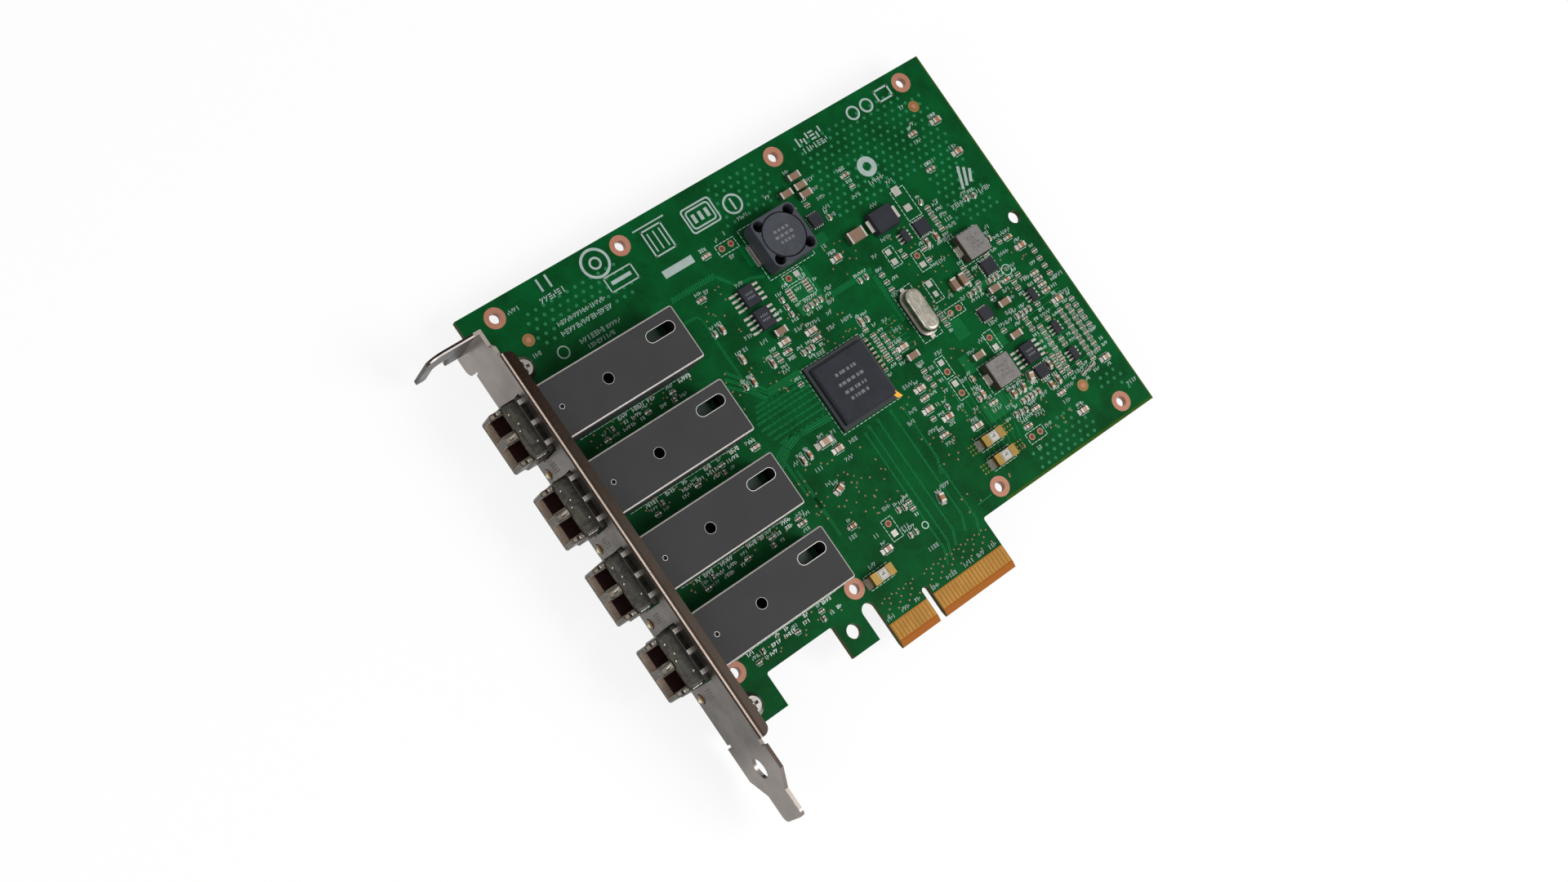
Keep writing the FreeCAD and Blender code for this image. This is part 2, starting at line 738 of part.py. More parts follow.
def make_bracket():
    """One folded sheet: face, tail, long flange, top tab with its screw slot and two ears."""
    bracket = body("bracket")
    crook = f"({FRONT} - bend_outside - bracket_sheet)"
    notch_back = "(bracket_back + 2 * relief_gap)"
    notch_high = f"({FLANGE_LOW} + notch_gap)"
    face = sketch_on(bracket, "YZ_Plane", "bracket_face", OUTSIDE)
    outline(face, [
        (BRACKET_TOP, "ear_back"),
        (BRACKET_TOP, f"{FRONT} - top_inset"),
        (NECK_LOW, f"{FRONT} - top_inset"),
        (f"{NECK_LOW} - shoulder_slant", f"{FRONT} - shoulder_inset"),
        (f"{FLANGE_HIGH} + relief_gap", f"{FRONT} - shoulder_inset"),
        (f"{FLANGE_HIGH} + relief_gap", crook),
        (FLANGE_HIGH, crook),
        (FLANGE_HIGH, FRONT),
        (FLANGE_LOW, FRONT),
        (FLANGE_LOW, crook),
        (TAIL_HIGH, crook),
        (TAIL_HIGH, f"{FRONT} - tail_inset"),
        (TAIL_LOW, f"{FRONT} - tail_inset"),
        (TIP_HIGH, "tip_back + tip_width"),
        (TIP_LOW, "tip_back + tip_width"),
        (TIP_LOW, "tip_back"),
        (TIP_HIGH, "tip_back"),
        (TAIL_LOW, "tail_back"),
        (notch_high, "tail_back"),
        (notch_high, notch_back),
        (f"{notch_high} + relief_gap", notch_back),
        (f"{notch_high} + relief_gap", "bracket_back"),
        (f"{EAR_LOW} - relief_gap", "bracket_back"),
        (f"{EAR_LOW} - relief_gap", notch_back),
        (EAR_LOW, notch_back),
        (EAR_LOW, "ear_back"),
    ])
    pad(bracket, face, "face_sheet", "bracket_sheet")

    flange = sketch_on(bracket, "XZ_Plane", "flange_section", f"0 - {FLANGE_HIGH}")
    rectangle(flange, OUTSIDE, f"{FRONT} - bracket_sheet", f"{OUTSIDE} + flange_depth", FRONT)
    pad(bracket, flange, "flange_sheet", f"{FLANGE_HIGH} - {FLANGE_LOW}")

    tab = sketch_on(bracket, "XZ_Plane", "tab_outline", f"0 - {BRACKET_TOP}")
    slot_low = "(tab_slot_centre - tab_slot_width / 2)"
    slot_high = "(tab_slot_centre + tab_slot_width / 2)"
    outline(tab, [
        (f"{OUTSIDE} + bracket_sheet / 2", f"{FRONT} - tab_inset"),
        (f"{OUTSIDE} - tab_reach", f"{FRONT} - tab_inset"),
        (f"{OUTSIDE} - tab_reach", "tab_prong_back"),
        (f"{OUTSIDE} - {slot_high}", "tab_prong_back"),
        (f"{OUTSIDE} - {slot_high}", "tab_slot_end"),
        (f"{OUTSIDE} - {slot_low}", "tab_slot_end"),
        (f"{OUTSIDE} - {slot_low}", "tab_back"),
        (f"{OUTSIDE} + bracket_sheet / 2", "tab_back"),
    ])
    pad(bracket, tab, "tab_sheet", "bracket_sheet")
    doc.recompute()

    ears = sketch_on(bracket, "XY_Plane", "ear_outline", "bracket_back")
    ear_end = f"({OUTSIDE} + mount_ear_reach)"
    for x, y in SCREW_SPOTS:
        rectangle(ears, f"{OUTSIDE} + bracket_sheet / 2", f"{y} - mount_ear_width / 2", ear_end,
                  f"{y} + mount_ear_width / 2")
    pad(bracket, ears, "ear_sheet", "bracket_sheet")
    doc.recompute()

    ports = sketch_on(bracket, "YZ_Plane", "port_cuts", OUTSIDE)
    half = "(neck_width / 2 + gasket_clearance + gasket_sheet + port_cut_gap)"
    for index in MODULES:
        rectangle(ports, f"{module_line(index)} - {half}", f"{TOP} + port_cut_low",
                  f"{module_line(index)} + {half}", f"{TOP} + {COLLAR_HIGH} + port_cut_rise")
        circle(ports, f"{module_line(index)} + led_offset", "led_z", "led_hole_radius")
    circle(ports, f"{TAIL_LOW} + tail_hole_rise", "tail_hole_z", "tail_hole_radius")
    pocket(bracket, ports, "face_holes", "bracket_sheet", backwards=True)

    ear_holes = sketch_on(bracket, "XY_Plane", "ear_holes", "bracket_back")
    for x, y in SCREW_SPOTS:
        circle(ear_holes, x, y, "screw_radius + screw_clearance")
    pocket(bracket, ear_holes, "ear_drilling", "bracket_sheet", backwards=True)

    ear_corners = [(ear_end, f"{y} {side} mount_ear_width / 2")
                   for x, y in SCREW_SPOTS for side in ("-", "+")]
    dress(bracket, "Fillet", "ear_ends", upright_edges(bracket, ear_corners), "ear_round")
    doc.recompute()
    flange_corners = [(f"{OUTSIDE} + flange_depth", FLANGE_LOW),
                      (f"{OUTSIDE} + flange_depth", FLANGE_HIGH)]
    dress(bracket, "Fillet", "flange_ends", upright_edges(bracket, flange_corners), "flange_round")
    doc.recompute()

    outside = value(OUTSIDE)
    front_z = value(FRONT)
    fold = edges_where(bracket, lambda middle, run: near(abs(run.y), 1)
                       and near(middle.x, outside) and near(middle.z, front_z))
    dress(bracket, "Fillet", "flange_fold", fold, "bend_outside")
    doc.recompute()
    inner_x = value(INSIDE)
    inner_z = value(f"{FRONT} - bracket_sheet")
    crease = edges_where(bracket, lambda middle, run: near(abs(run.y), 1)
                         and near(middle.x, inner_x) and near(middle.z, inner_z))
    dress(bracket, "Fillet", "flange_crease", crease, "bend_outside - bracket_sheet")
    doc.recompute()

    reach = value(f"{OUTSIDE} - tab_reach")
    tab_ends = [value(f"{FRONT} - tab_inset"), value("tab_prong_back")]
    corners = edges_where(bracket, lambda middle, run: near(abs(run.y), 1)
                          and near(middle.x, reach) and near(middle.z, tab_ends[0]))
    dress(bracket, "Fillet", "tab_corner", corners, "tab_round")
    doc.recompute()
    slot_walls = [value(f"{OUTSIDE} - {slot_low}"), value(f"{OUTSIDE} - {slot_high}")]
    slot_end = value("tab_slot_end")
    ends = edges_where(bracket, lambda middle, run: near(abs(run.y), 1)
                       and near(middle.z, slot_end)
                       and any(near(middle.x, wall) for wall in slot_walls))
    dress(bracket, "Fillet", "tab_slot_round", ends, "tab_slot_width / 2 - round_slack")
    doc.recompute()
    prong = edges_where(bracket, lambda middle, run: near(abs(run.y), 1)
                        and near(middle.z, tab_ends[1]))
    dress(bracket, "Fillet", "tab_prong_round", prong, "bracket_sheet")
    doc.recompute()

    tip_y = value(TIP_LOW)
    tip = edges_where(bracket, lambda middle, run: near(abs(run.x), 1) and near(middle.y, tip_y))
    dress(bracket, "Fillet", "tip_round_off", tip, "tip_round")
    doc.recompute()
    ear_y = value(EAR_LOW)
    ear_z = value("ear_back")
    ear = edges_where(bracket, lambda middle, run: near(abs(run.x), 1)
                      and near(middle.y, ear_y) and near(middle.z, ear_z))
    dress(bracket, "Fillet", "ear_round_off", ear, "ear_round")
    return bracket


def make_clinch_nuts():
    """Two clinch nuts between the bracket's ears and the board's underside."""
    nuts = []
    for number, (x, y) in enumerate(SCREW_SPOTS, start=1):
        seat = "(bracket_back + bracket_sheet)"
        height = f"({UNDER} - nut_gap - {seat})"
        shell = rod(f"nut_shell_{number}", x, y, seat, "nut_radius", height)
        bore = rod(f"nut_bore_{number}", x, y, seat, "screw_radius + nut_gap", height)
        nuts.append(cut(f"nut_{number}", shell, bore))
    return group("clinch_nuts", nuts)


def make_bracket_screws():
    """Two pan-head screws with a square-ended cross recess, turned about their own axes."""
    screws = []
    for number, (x, y) in enumerate(SCREW_SPOTS, start=1):
        screw = body(f"screw_{number}")
        profile = sketch_on(screw, "XZ_Plane", f"screw_profile_{number}")
        tail = "(bracket_back - screw_tail)"
        outline(profile, [("0", tail), ("screw_radius", tail), ("screw_radius", TOP),
                          ("head_radius", TOP), ("head_radius", f"{TOP} + head_rim"),
                          ("head_crown", f"{TOP} + head_height"),
                          ("0", f"{TOP} + head_height")])
        turned = screw.newObject("PartDesign::Revolution", f"screw_turning_{number}")
        turned.Profile = profile
        turned.ReferenceAxis = (profile, ["V_Axis"])
        turned.Angle = 360
        recess = sketch_on(screw, "XY_Plane", f"screw_recess_{number}",
                           f"{TOP} + head_height")
        arm = "recess_radius"
        wall = "recess_arm"
        outline(recess, [(f"0 - {arm}", f"0 - {wall}"), (f"0 - {wall}", f"0 - {wall}"),
                         (f"0 - {wall}", f"0 - {arm}"), (wall, f"0 - {arm}"),
                         (wall, f"0 - {wall}"), (arm, f"0 - {wall}"), (arm, wall),
                         (wall, wall), (wall, arm), (f"0 - {wall}", arm),
                         (f"0 - {wall}", wall), (f"0 - {arm}", wall)])
        pocket(screw, recess, f"screw_cross_{number}", "recess_depth")
        place(screw, x, y)
        screws.append(screw)
    return group("bracket_screws", screws)


# ---------------------------------------------------------------- optical transceivers
# Each is modelled on its own centre line with the board's top face at z = 0, then placed.

def make_shield(index):
    """A bent metal shield, open below and in front, with its holes and its long window."""
    shield = body(f"transceiver_shield_{index + 1}")
    half = "module_width / 2"
    base = sketch_on(shield, "XY_Plane", f"shield_outline_{index}", "shield_seat")
    rectangle(base, f"0 - {SHIELD_FRONT}", f"0 - {half}", f"0 - {SHIELD_REAR}", half)
    pad(shield, base, f"shield_block_{index}", "shield_top - shield_seat")
    doc.recompute()
    rear_corners = [(f"0 - {SHIELD_REAR}", f"0 - {half}"), (f"0 - {SHIELD_REAR}", half)]
    dress(shield, "Fillet", f"shield_corners_{index}", upright_edges(shield, rear_corners),
          "shield_round")
    doc.recompute()
    top = value("shield_top")
    front = value(f"0 - {SHIELD_FRONT}")
    bends = edges_where(shield, lambda middle, run: near(middle.z, top)
                        and not near(middle.x, front))
    dress(shield, "Fillet", f"shield_bends_{index}", bends, "shield_bend")
    doc.recompute()
    hollow = sketch_on(shield, "XY_Plane", f"shield_hollow_{index}", "shield_seat")
    rectangle(hollow, f"0 - {SHIELD_FRONT}", f"shield_sheet - {half}",
              f"0 - {SHIELD_REAR} - shield_sheet", f"{half} - shield_sheet")
    pocket(shield, hollow, f"shield_inside_{index}", "shield_top - shield_seat - shield_sheet",
           backwards=True)
    holes = sketch_on(shield, "XY_Plane", f"shield_holes_{index}", "shield_top")
    circle(holes, f"0 - {VENT_X}", "0", "vent_radius")
    circle(holes, f"pin_mark_setback - {SHIELD_FRONT}", "0", "pin_mark_radius")
    obround(holes, f"0 - {WINDOW_X}", "window_y", "window_length", "window_width")
    pocket(shield, holes, f"shield_openings_{index}", "shield_sheet")
    place(shield, y=module_line(index), z=TOP)
    return shield


def make_receptacle(index):
    """A moulded duplex receptacle: collar, neck, nose and the holder of the two optical units."""
    part = body(f"lc_receptacle_{index + 1}")
    holder_top = "(shield_top - shield_sheet - holder_clearance)"
    holder_half = "(module_width / 2 - shield_sheet - holder_clearance)"
    neck_low = "(collar_low + neck_inset)"
    neck_high = f"({COLLAR_HIGH} - neck_inset)"
    sections = [
        ("collar", COLLAR_FRONT, COLLAR_REAR, "collar_width / 2", "collar_low", COLLAR_HIGH),
        ("neck", COLLAR_REAR, SHIELD_FRONT, "neck_width / 2", neck_low, neck_high),
        ("nose", NOSE_FRONT, COLLAR_FRONT, "nose_width / 2", "nose_low", NOSE_HIGH),
        ("holder", SHIELD_FRONT, HOLDER_REAR, holder_half, neck_low, holder_top),
    ]
    for name, front, rear, half, low, high in sections:
        sketch = sketch_on(part, "XY_Plane", f"{name}_outline_{index}", low)
        rectangle(sketch, f"0 - {front}", f"0 - ({half})", f"0 - {rear}", half)
        pad(part, sketch, f"{name}_block_{index}", f"({high}) - ({low})")
        doc.recompute()
        if name == "collar":
            side = value("collar_width / 2")
            edges = edges_where(part, lambda middle, run: near(abs(run.x), 1)
                                and near(abs(middle.y), side))
            dress(part, "Fillet", f"collar_round_{index}", edges, "collar_round")
            doc.recompute()

    ports = sketch_on(part, "YZ_Plane", f"port_outline_{index}", f"0 - {NOSE_FRONT}")
    for side in ("-", "+"):
        centre = f"(0 {side} port_spacing / 2)"
        rectangle(ports, f"{centre} - port_width / 2", PORT_FLOOR,
                  f"{centre} + port_width / 2", PORT_CEILING)
    pocket(part, ports, f"port_pockets_{index}", "port_depth", backwards=True)
    latches = sketch_on(part, "XY_Plane", f"latch_outline_{index}", NOSE_HIGH)
    for side in ("-", "+"):
        centre = f"(0 {side} port_spacing / 2)"
        rectangle(latches, f"0 - {NOSE_FRONT}", f"{centre} - port_width / 2 + port_chamfer",
                  f"0 - {COLLAR_FRONT}", f"{centre} + port_width / 2 - port_chamfer")
    pocket(part, latches, f"latch_slots_{index}", "port_roof + latch_overlap")

    bores = sketch_on(part, "YZ_Plane", f"unit_bores_{index}", f"0 - {HOLDER_REAR}")
    sleeves = sketch_on(part, "YZ_Plane", f"sleeve_bores_{index}", f"0 - {PORT_BACK}")
    for side in ("-", "+"):
        circle(bores, f"0 {side} port_spacing / 2", PORT_AXIS, "barrel_radius + barrel_clearance")
        circle(sleeves, f"0 {side} port_spacing / 2", PORT_AXIS,
               "sleeve_radius + barrel_clearance")
    pocket(part, bores, f"unit_seats_{index}", f"{BARREL_BACK} - {HOLDER_REAR}")
    pocket(part, sleeves, f"sleeve_seats_{index}", "port_wall", backwards=True)

    nose_x = value(f"0 - {NOSE_FRONT}")
    nose_y = value("nose_width / 2")
    edges = edges_where(part, lambda middle, run: near(abs(run.z), 1)
                        and near(middle.x, nose_x) and near(abs(middle.y), nose_y))
    dress(part, "Chamfer", f"nose_lead_in_{index}", edges, "port_chamfer")
    doc.recompute()
    collar_x = value(f"0 - {COLLAR_FRONT}")
    collar_y = value("collar_width / 2")
    edges = edges_where(part, lambda middle, run: near(abs(run.z), 1)
                        and near(middle.x, collar_x) and near(abs(middle.y), collar_y))
    dress(part, "Chamfer", f"collar_lead_in_{index}", edges, "port_chamfer")
    place(part, y=module_line(index), z=TOP)
    return part


def make_gasket(index):
    """A thin sprung sleeve round the neck, with open windows between its top fingers."""
    length = "(neck_length - 2 * gasket_clearance)"
    start = f"(gasket_clearance - {COLLAR_REAR})"
    inner_half = "(neck_width / 2 + gasket_clearance)"
    outer_half = f"({inner_half} + gasket_sheet)"
    low = "(collar_low + neck_inset - gasket_clearance)"
    high = f"({COLLAR_HIGH} - neck_inset + gasket_clearance)"
    shell = block(f"gasket_shell_{index}", start, f"0 - {outer_half}", f"{low} - gasket_sheet",
                  length, f"2 * {outer_half}", f"{high} - {low} + 2 * gasket_sheet")
    bore = block(f"gasket_bore_{index}", f"{start} - cut_over", f"0 - {inner_half}", low,
                 f"{length} + 2 * cut_over", f"2 * {inner_half}", f"{high} - {low}")
    sleeve = cut(f"gasket_sleeve_{index}", shell, bore)
    gap = f"({inner_half} - 3 * gasket_finger / 2)"
    windows = []
    for side, y in (("low", f"0 - gasket_finger / 2 - {gap}"), ("high", "gasket_finger / 2")):
        windows.append(block(f"gasket_window_{side}_{index}", f"{start} + 2 * gasket_sheet", y,
                             f"{high} - cut_over", f"{length} - 4 * gasket_sheet", gap,
                             "2 * cut_over"))
    gasket = cut(f"gasket_{index + 1}", sleeve, fuse(f"gasket_windows_{index}", windows))
    place(gasket, y=module_line(index), z=TOP)
    return gasket


def make_optical_unit(name, index, side):
    """A laser or receiver can: sleeve in the port, barrel in the holder, sealed can behind."""
    along = Vector(1, 0, 0)
    tip = f"0 - {BARREL_BACK} - sleeve_length"
    barrel_tip = f"barrel_clearance - {BARREL_BACK}"
    sleeve = rod(f"{name}_sleeve_{index}", tip, "0", PORT_AXIS, "sleeve_radius",
                 "sleeve_length + barrel_clearance", along)
    barrel = rod(f"{name}_barrel_{index}", barrel_tip, "0", PORT_AXIS, "barrel_radius",
                 f"{BARREL_BACK} - barrel_clearance - {HOLDER_REAR}", along)
    can = rod(f"{name}_can_{index}", f"0 - {HOLDER_REAR}", "0", PORT_AXIS, "unit_can_radius",
              "unit_can_length", along)
    bore = rod(f"{name}_bore_{index}", tip, "0", PORT_AXIS, "sleeve_radius / 2", "sleeve_length",
               along)
    unit = cut(f"{name}_{index + 1}", fuse(f"{name}_turned_{index}", [sleeve, barrel, can]), bore)
    place(unit, y=f"{module_line(index)} {side} port_spacing / 2", z=TOP)
    return unit


def make_inner_board(index):
    """The transceiver's own small board with its driver chips, seen through the window."""
    sheet_part = block(f"inner_sheet_{index}", f"0 - {INNER_BOARD_FRONT}",
                       "0 - inner_board_width / 2", "inner_board_low", "inner_board_length",
                       "inner_board_width", "inner_board_thickness")
    deck = "(inner_board_low + inner_board_thickness)"
    drivers = [centred_block(f"driver_{name}_{index}", f"0 - {x}", y, deck, "driver_size",
                             "driver_size", "driver_height")
               for name, x, y in (("window", WINDOW_X, "window_y"), ("vent", VENT_X, "0"))]
    part = fuse(f"transceiver_board_{index + 1}", [sheet_part] + drivers)
    place(part, y=module_line(index), z=TOP)
    return part


def make_pins(index):
    """The signal pins and posts that carry the small board and pass through the card."""
    pins = [rod(f"pin_{index}_{number}", x, y, "0 - board_thickness - pin_tail", radius,
                "board_thickness + pin_tail + inner_board_low")
            for number, (x, y, radius) in enumerate(PIN_SPOTS)]
    part = group(f"transceiver_pins_{index + 1}", pins)
    place(part, y=module_line(index), z=TOP)
    return part


def make_indicator(index):
    """An indicator under the board's edge, with its lens in the bracket's hole."""
    seat = f"({UNDER} - led_body_height)"
    front = f"({INSIDE} + board_gap)"
    case = block(f"indicator_case_{index}", front, "0 - led_body_width / 2", seat,
                 "led_body_length", "led_body_width", "led_body_height")
    lens = rod(f"indicator_lens_{index}", f"{OUTSIDE} - led_lens_proud", "0", "led_z",
               "led_lens_radius", f"{front} - {OUTSIDE} + led_lens_proud", Vector(1, 0, 0))
    part = fuse(f"port_indicator_{index + 1}", [case, lens])
    place(part, y=f"{module_line(index)} + led_offset")
    return part


# ---------------------------------------------------------------- parts on the board

def make_controller():
    """The controller's package substrate and its bevelled mould cap."""
    package = centred_block("controller_package", "chip_x", "chip_y", f"{TOP} + package_gap",
                            "package_size", "package_size", "package_height")
    cap = body("controller_cap")
    sketch = sketch_on(cap, "XY_Plane", "cap_outline", f"{TOP} + package_gap + package_height")
    rectangle(sketch, "chip_x - cap_size / 2", "chip_y - cap_size / 2", "chip_x + cap_size / 2",
              "chip_y + cap_size / 2")
    pad(cap, sketch, "cap_block", "cap_height")
    doc.recompute()
    top = value(f"{TOP} + package_gap + package_height + cap_height")
    rim = edges_where(cap, lambda middle, run: near(run.z, 0) and near(middle.z, top))
    dress(cap, "Chamfer", "cap_bevel", rim, "cap_chamfer")
    return [package, cap]


def make_choke():
    """The shielded power inductor: base with leads, drum core, winding and square shield."""
    shield = body("inductor_shield")
    base = f"({TOP} + choke_base)"
    half = "choke_size / 2"
    sketch = sketch_on(shield, "XY_Plane", "choke_outline", base)
    rectangle(sketch, f"choke_x - {half}", f"{CHOKE_Y} - {half}", f"choke_x + {half}",
              f"{CHOKE_Y} + {half}")
    pad(shield, sketch, "choke_block", "choke_height - choke_base")
    doc.recompute()
    corners = [(f"choke_x {a} {half}", f"{CHOKE_Y} {b} {half}") for a in "-+" for b in "-+"]
    dress(shield, "Fillet", "choke_corners", upright_edges(shield, corners), "choke_round")
    doc.recompute()
    bore = sketch_on(shield, "XY_Plane", "choke_bore", base)
    circle(bore, "choke_x", CHOKE_Y, "choke_bore_radius")
    pocket(shield, bore, "choke_hollow")
    for number, (a, b) in enumerate([(a, b) for a in "-+" for b in "-+"]):
        scoop = sketch_on(shield, "XY_Plane", f"choke_scoop_{number}", base)
        circle(scoop, f"choke_x {a} choke_corner_offset", f"{CHOKE_Y} {b} choke_corner_offset",
               "choke_corner_radius")
        pocket(shield, scoop, f"choke_corner_{number}")

    core = body("inductor_core")
    profile = sketch_on(core, "XZ_Plane", "core_profile")
    top = f"({TOP} + choke_height)"
    outline(profile, [("0", base), ("core_radius", base), ("core_radius", f"{base} + core_flange"),
                      ("core_hub_radius", f"{base} + core_flange"),
                      ("core_hub_radius", f"{top} - core_flange"),
                      ("core_radius", f"{top} - core_flange"), ("core_radius", top), ("0", top)])
    turned = core.newObject("PartDesign::Revolution", "core_turning")
    turned.Profile = profile
    turned.ReferenceAxis = (profile, ["V_Axis"])
    turned.Angle = 360
    place(core, "choke_x", CHOKE_Y)

    low = f"({base} + core_flange)"
    height = "choke_height - choke_base - 2 * core_flange"
    coil = rod("winding_outer", "choke_x", CHOKE_Y, low, "winding_radius", height)
    hub = rod("winding_inner", "choke_x", CHOKE_Y, low, "core_hub_radius", height)
    winding = cut("inductor_winding", coil, hub)

    plate = centred_block("inductor_base", "choke_x", CHOKE_Y, f"{TOP} + choke_lead_sheet",
                          "choke_size - 2 * choke_lead_sheet", "choke_size - 2 * choke_lead_sheet",
                          "choke_base - choke_lead_sheet")
    leads = []
    for name, side in (("left", "-"), ("right", "+")):
        leads.append(centred_block(f"choke_foot_{name}",
                                   f"choke_x {side} ({half} - choke_lead_reach / 2)", CHOKE_Y, TOP,
                                   "choke_lead_reach + 2 * choke_lead_sheet", "choke_lead_width",
                                   "choke_lead_sheet"))
    terminals = group("inductor_terminals", leads)
    return [shield, core, winding, plate, terminals]


def make_coil(number):
    """A moulded power inductor, rounded on its upright and top edges."""
    coil = body(f"filter_inductor_{number}")
    half = "coil_size / 2"
    sketch = sketch_on(coil, "XY_Plane", f"coil_outline_{number}", "coil_lead_sheet")
    rectangle(sketch, f"0 - {half}", f"0 - {half}", half, half)
    pad(coil, sketch, f"coil_block_{number}", "coil_height - coil_lead_sheet")
    doc.recompute()
    top = value("coil_height")
    edges = edges_where(coil, lambda middle, run: near(abs(run.z), 1) or near(middle.z, top))
    dress(coil, "Fillet", f"coil_edges_{number}", edges, "coil_round")
    place(coil, f"coil_{number}_x", f"coil_{number}_y", TOP)
    return coil


def make_coil_leads():
    """Flat leads under each moulded inductor, turned out at both sides."""
    leads = []
    for number in (1, 2):
        for side in ("-", "+"):
            leads.append(centred_block(
                f"coil_lead_{len(leads)}",
                f"coil_{number}_x {side} (coil_size + coil_lead_out - coil_lead_tuck) / 2",
                f"coil_{number}_y", TOP, "coil_lead_tuck + coil_lead_out", "coil_lead_width",
                "coil_lead_sheet"))
    return leads


def make_crystal():
    """The crystal's drawn can on its moulded base, with a lead at each end."""
    can = body("crystal_can")
    reach = "can_length / 2"
    floor = f"({TOP} + crystal_base_height)"
    sketch = sketch_on(can, "XY_Plane", "can_outline", floor)
    rectangle(sketch, "0 - can_width / 2", f"0 - {reach}", "can_width / 2", reach)
    pad(can, sketch, "can_block", "can_height - crystal_base_height")
    doc.recompute()
    corners = [(f"0 {a} can_width / 2", f"0 {b} {reach}") for a in "-+" for b in "-+"]
    dress(can, "Fillet", "can_ends", upright_edges(can, corners),
          "can_width / 2 - round_slack")
    doc.recompute()
    top = value(f"{TOP} + can_height")
    rim = [f"Edge{number}" for number, edge in enumerate(can.Shape.Edges, start=1)
           if near(edge.CenterOfMass.z, top)]
    dress(can, "Fillet", "can_crown", rim, "can_round")
    place(can, "crystal_x", "crystal_y")

    base = body("crystal_base")
    sketch = sketch_on(base, "XY_Plane", "crystal_base_outline", f"{TOP} + crystal_lead_sheet")
    half = "(can_width / 2 + crystal_base_margin)"
    end = f"({reach} + crystal_base_margin)"
    rectangle(sketch, f"0 - {half}", f"0 - {end}", half, end)
    pad(base, sketch, "crystal_base_block", "crystal_base_height - crystal_lead_sheet")
    doc.recompute()
    corners = [(f"0 {a} {half}", f"0 {b} {end}") for a in "-+" for b in "-+"]
    dress(base, "Fillet", "crystal_base_ends", upright_edges(base, corners),
          f"{half} - crystal_base_flat")
    place(base, "crystal_x", "crystal_y")

    leads = []
    for side in ("-", "+"):
        leads.append(centred_block(f"crystal_lead_{len(leads)}", "crystal_x",
                                   f"crystal_y {side} ({end} + crystal_lead_length / 2"
                                   " - crystal_lead_tuck)",
                                   TOP, "crystal_lead_width", "crystal_lead_length",
                                   "crystal_lead_sheet"))
    return [can, base], leads


def make_soic(name, x, y):
    """An eight-lead chip body with drafted sides."""
    low = doc.addObject("Part::Wedge", name)
    bind(low, Xmin="0 - soic_width / 2", Xmax="soic_width / 2", Zmin="0 - soic_length / 2",
         Zmax="soic_length / 2", Ymin="soic_gap", Ymax="soic_gap + soic_height",
         X2min="soic_draft - soic_width / 2", X2max="soic_width / 2 - soic_draft",
         Z2min="soic_draft - soic_length / 2", Z2max="soic_length / 2 - soic_draft")
    low.Placement = FreeCAD.Placement(Vector(), Rotation(Vector(1, 0, 0), 90))
    place(low, x, y, TOP)
    return low


def lead_profile():
    """A gull-wing lead's side view, from the chip's side out and down to the board."""
    rise = "(soic_gap + soic_height / 2)"
    knee = "(soic_span / 2 - lead_foot)"
    root = "(soic_width / 2)"
    return [(root, rise), (f"{knee}", rise), (f"{knee} + lead_sheet", "lead_sheet"),
            ("soic_span / 2", "lead_sheet"), ("soic_span / 2", "0"), (f"{knee}", "0"),
            (f"{knee} - lead_sheet", f"{rise} - lead_sheet"), (root, f"{rise} - lead_sheet")]


def make_leads(chips):
    """All gull-wing leads of the eight-lead chips, four to a side."""
    leads = []
    for name, x, y in chips:
        for side in (1, -1):
            owner = body(f"{name}_leads_{'right' if side > 0 else 'left'}")
            sketch = sketch_on(owner, "XZ_Plane", f"{owner.Name}_profile",
                               "1.5 * lead_pitch - lead_width / 2")
            points = lead_profile()
            outline(sketch, points if side > 0 else [(f"0 - {a}", b) for a, b in points])
            first = pad(owner, sketch, f"{owner.Name}_first", "lead_width")
            doc.recompute()
            row = owner.newObject("PartDesign::LinearPattern", f"{owner.Name}_row")
            row.Originals = [first]
            row.Direction = (sketch, ["N_Axis"])
            row.Reversed = True
            row.setExpression("Length", cell("3 * lead_pitch"))
            row.Occurrences = 4
            owner.Tip = row
            place(owner, x, y, TOP)
            leads.append(owner)
    return group("chip_leads", leads)


def make_diode():
    """The power diode: drafted body with a wrapped tab at each end."""
    case = doc.addObject("Part::Wedge", "power_diode")
    bind(case, Xmin="0 - diode_length / 2", Xmax="diode_length / 2", Zmin="0 - diode_width / 2",
         Zmax="diode_width / 2", Ymin="coil_lead_sheet", Ymax="diode_height",
         X2min="diode_draft - diode_length / 2", X2max="diode_length / 2 - diode_draft",
         Z2min="diode_draft - diode_width / 2", Z2max="diode_width / 2 - diode_draft")
    case.Placement = FreeCAD.Placement(Vector(), Rotation(Vector(1, 0, 0), 90))
    place(case, "diode_x", DIODE_Y, TOP)
    tabs = []
    for side in ("-", "+"):
        tabs.append(centred_block(f"diode_tab_{len(tabs)}",
                                  f"diode_x {side} (diode_length / 2 + diode_tab_length / 2)",
                                  DIODE_Y, TOP, "diode_tab_length", "diode_tab_width",
                                  "diode_tab_height"))
    return case, tabs


FUSES = [("fuse_right_x", "fuse_1_y"), ("fuse_right_x", "fuse_2_y"), ("fuse_3_x", "fuse_3_y")]


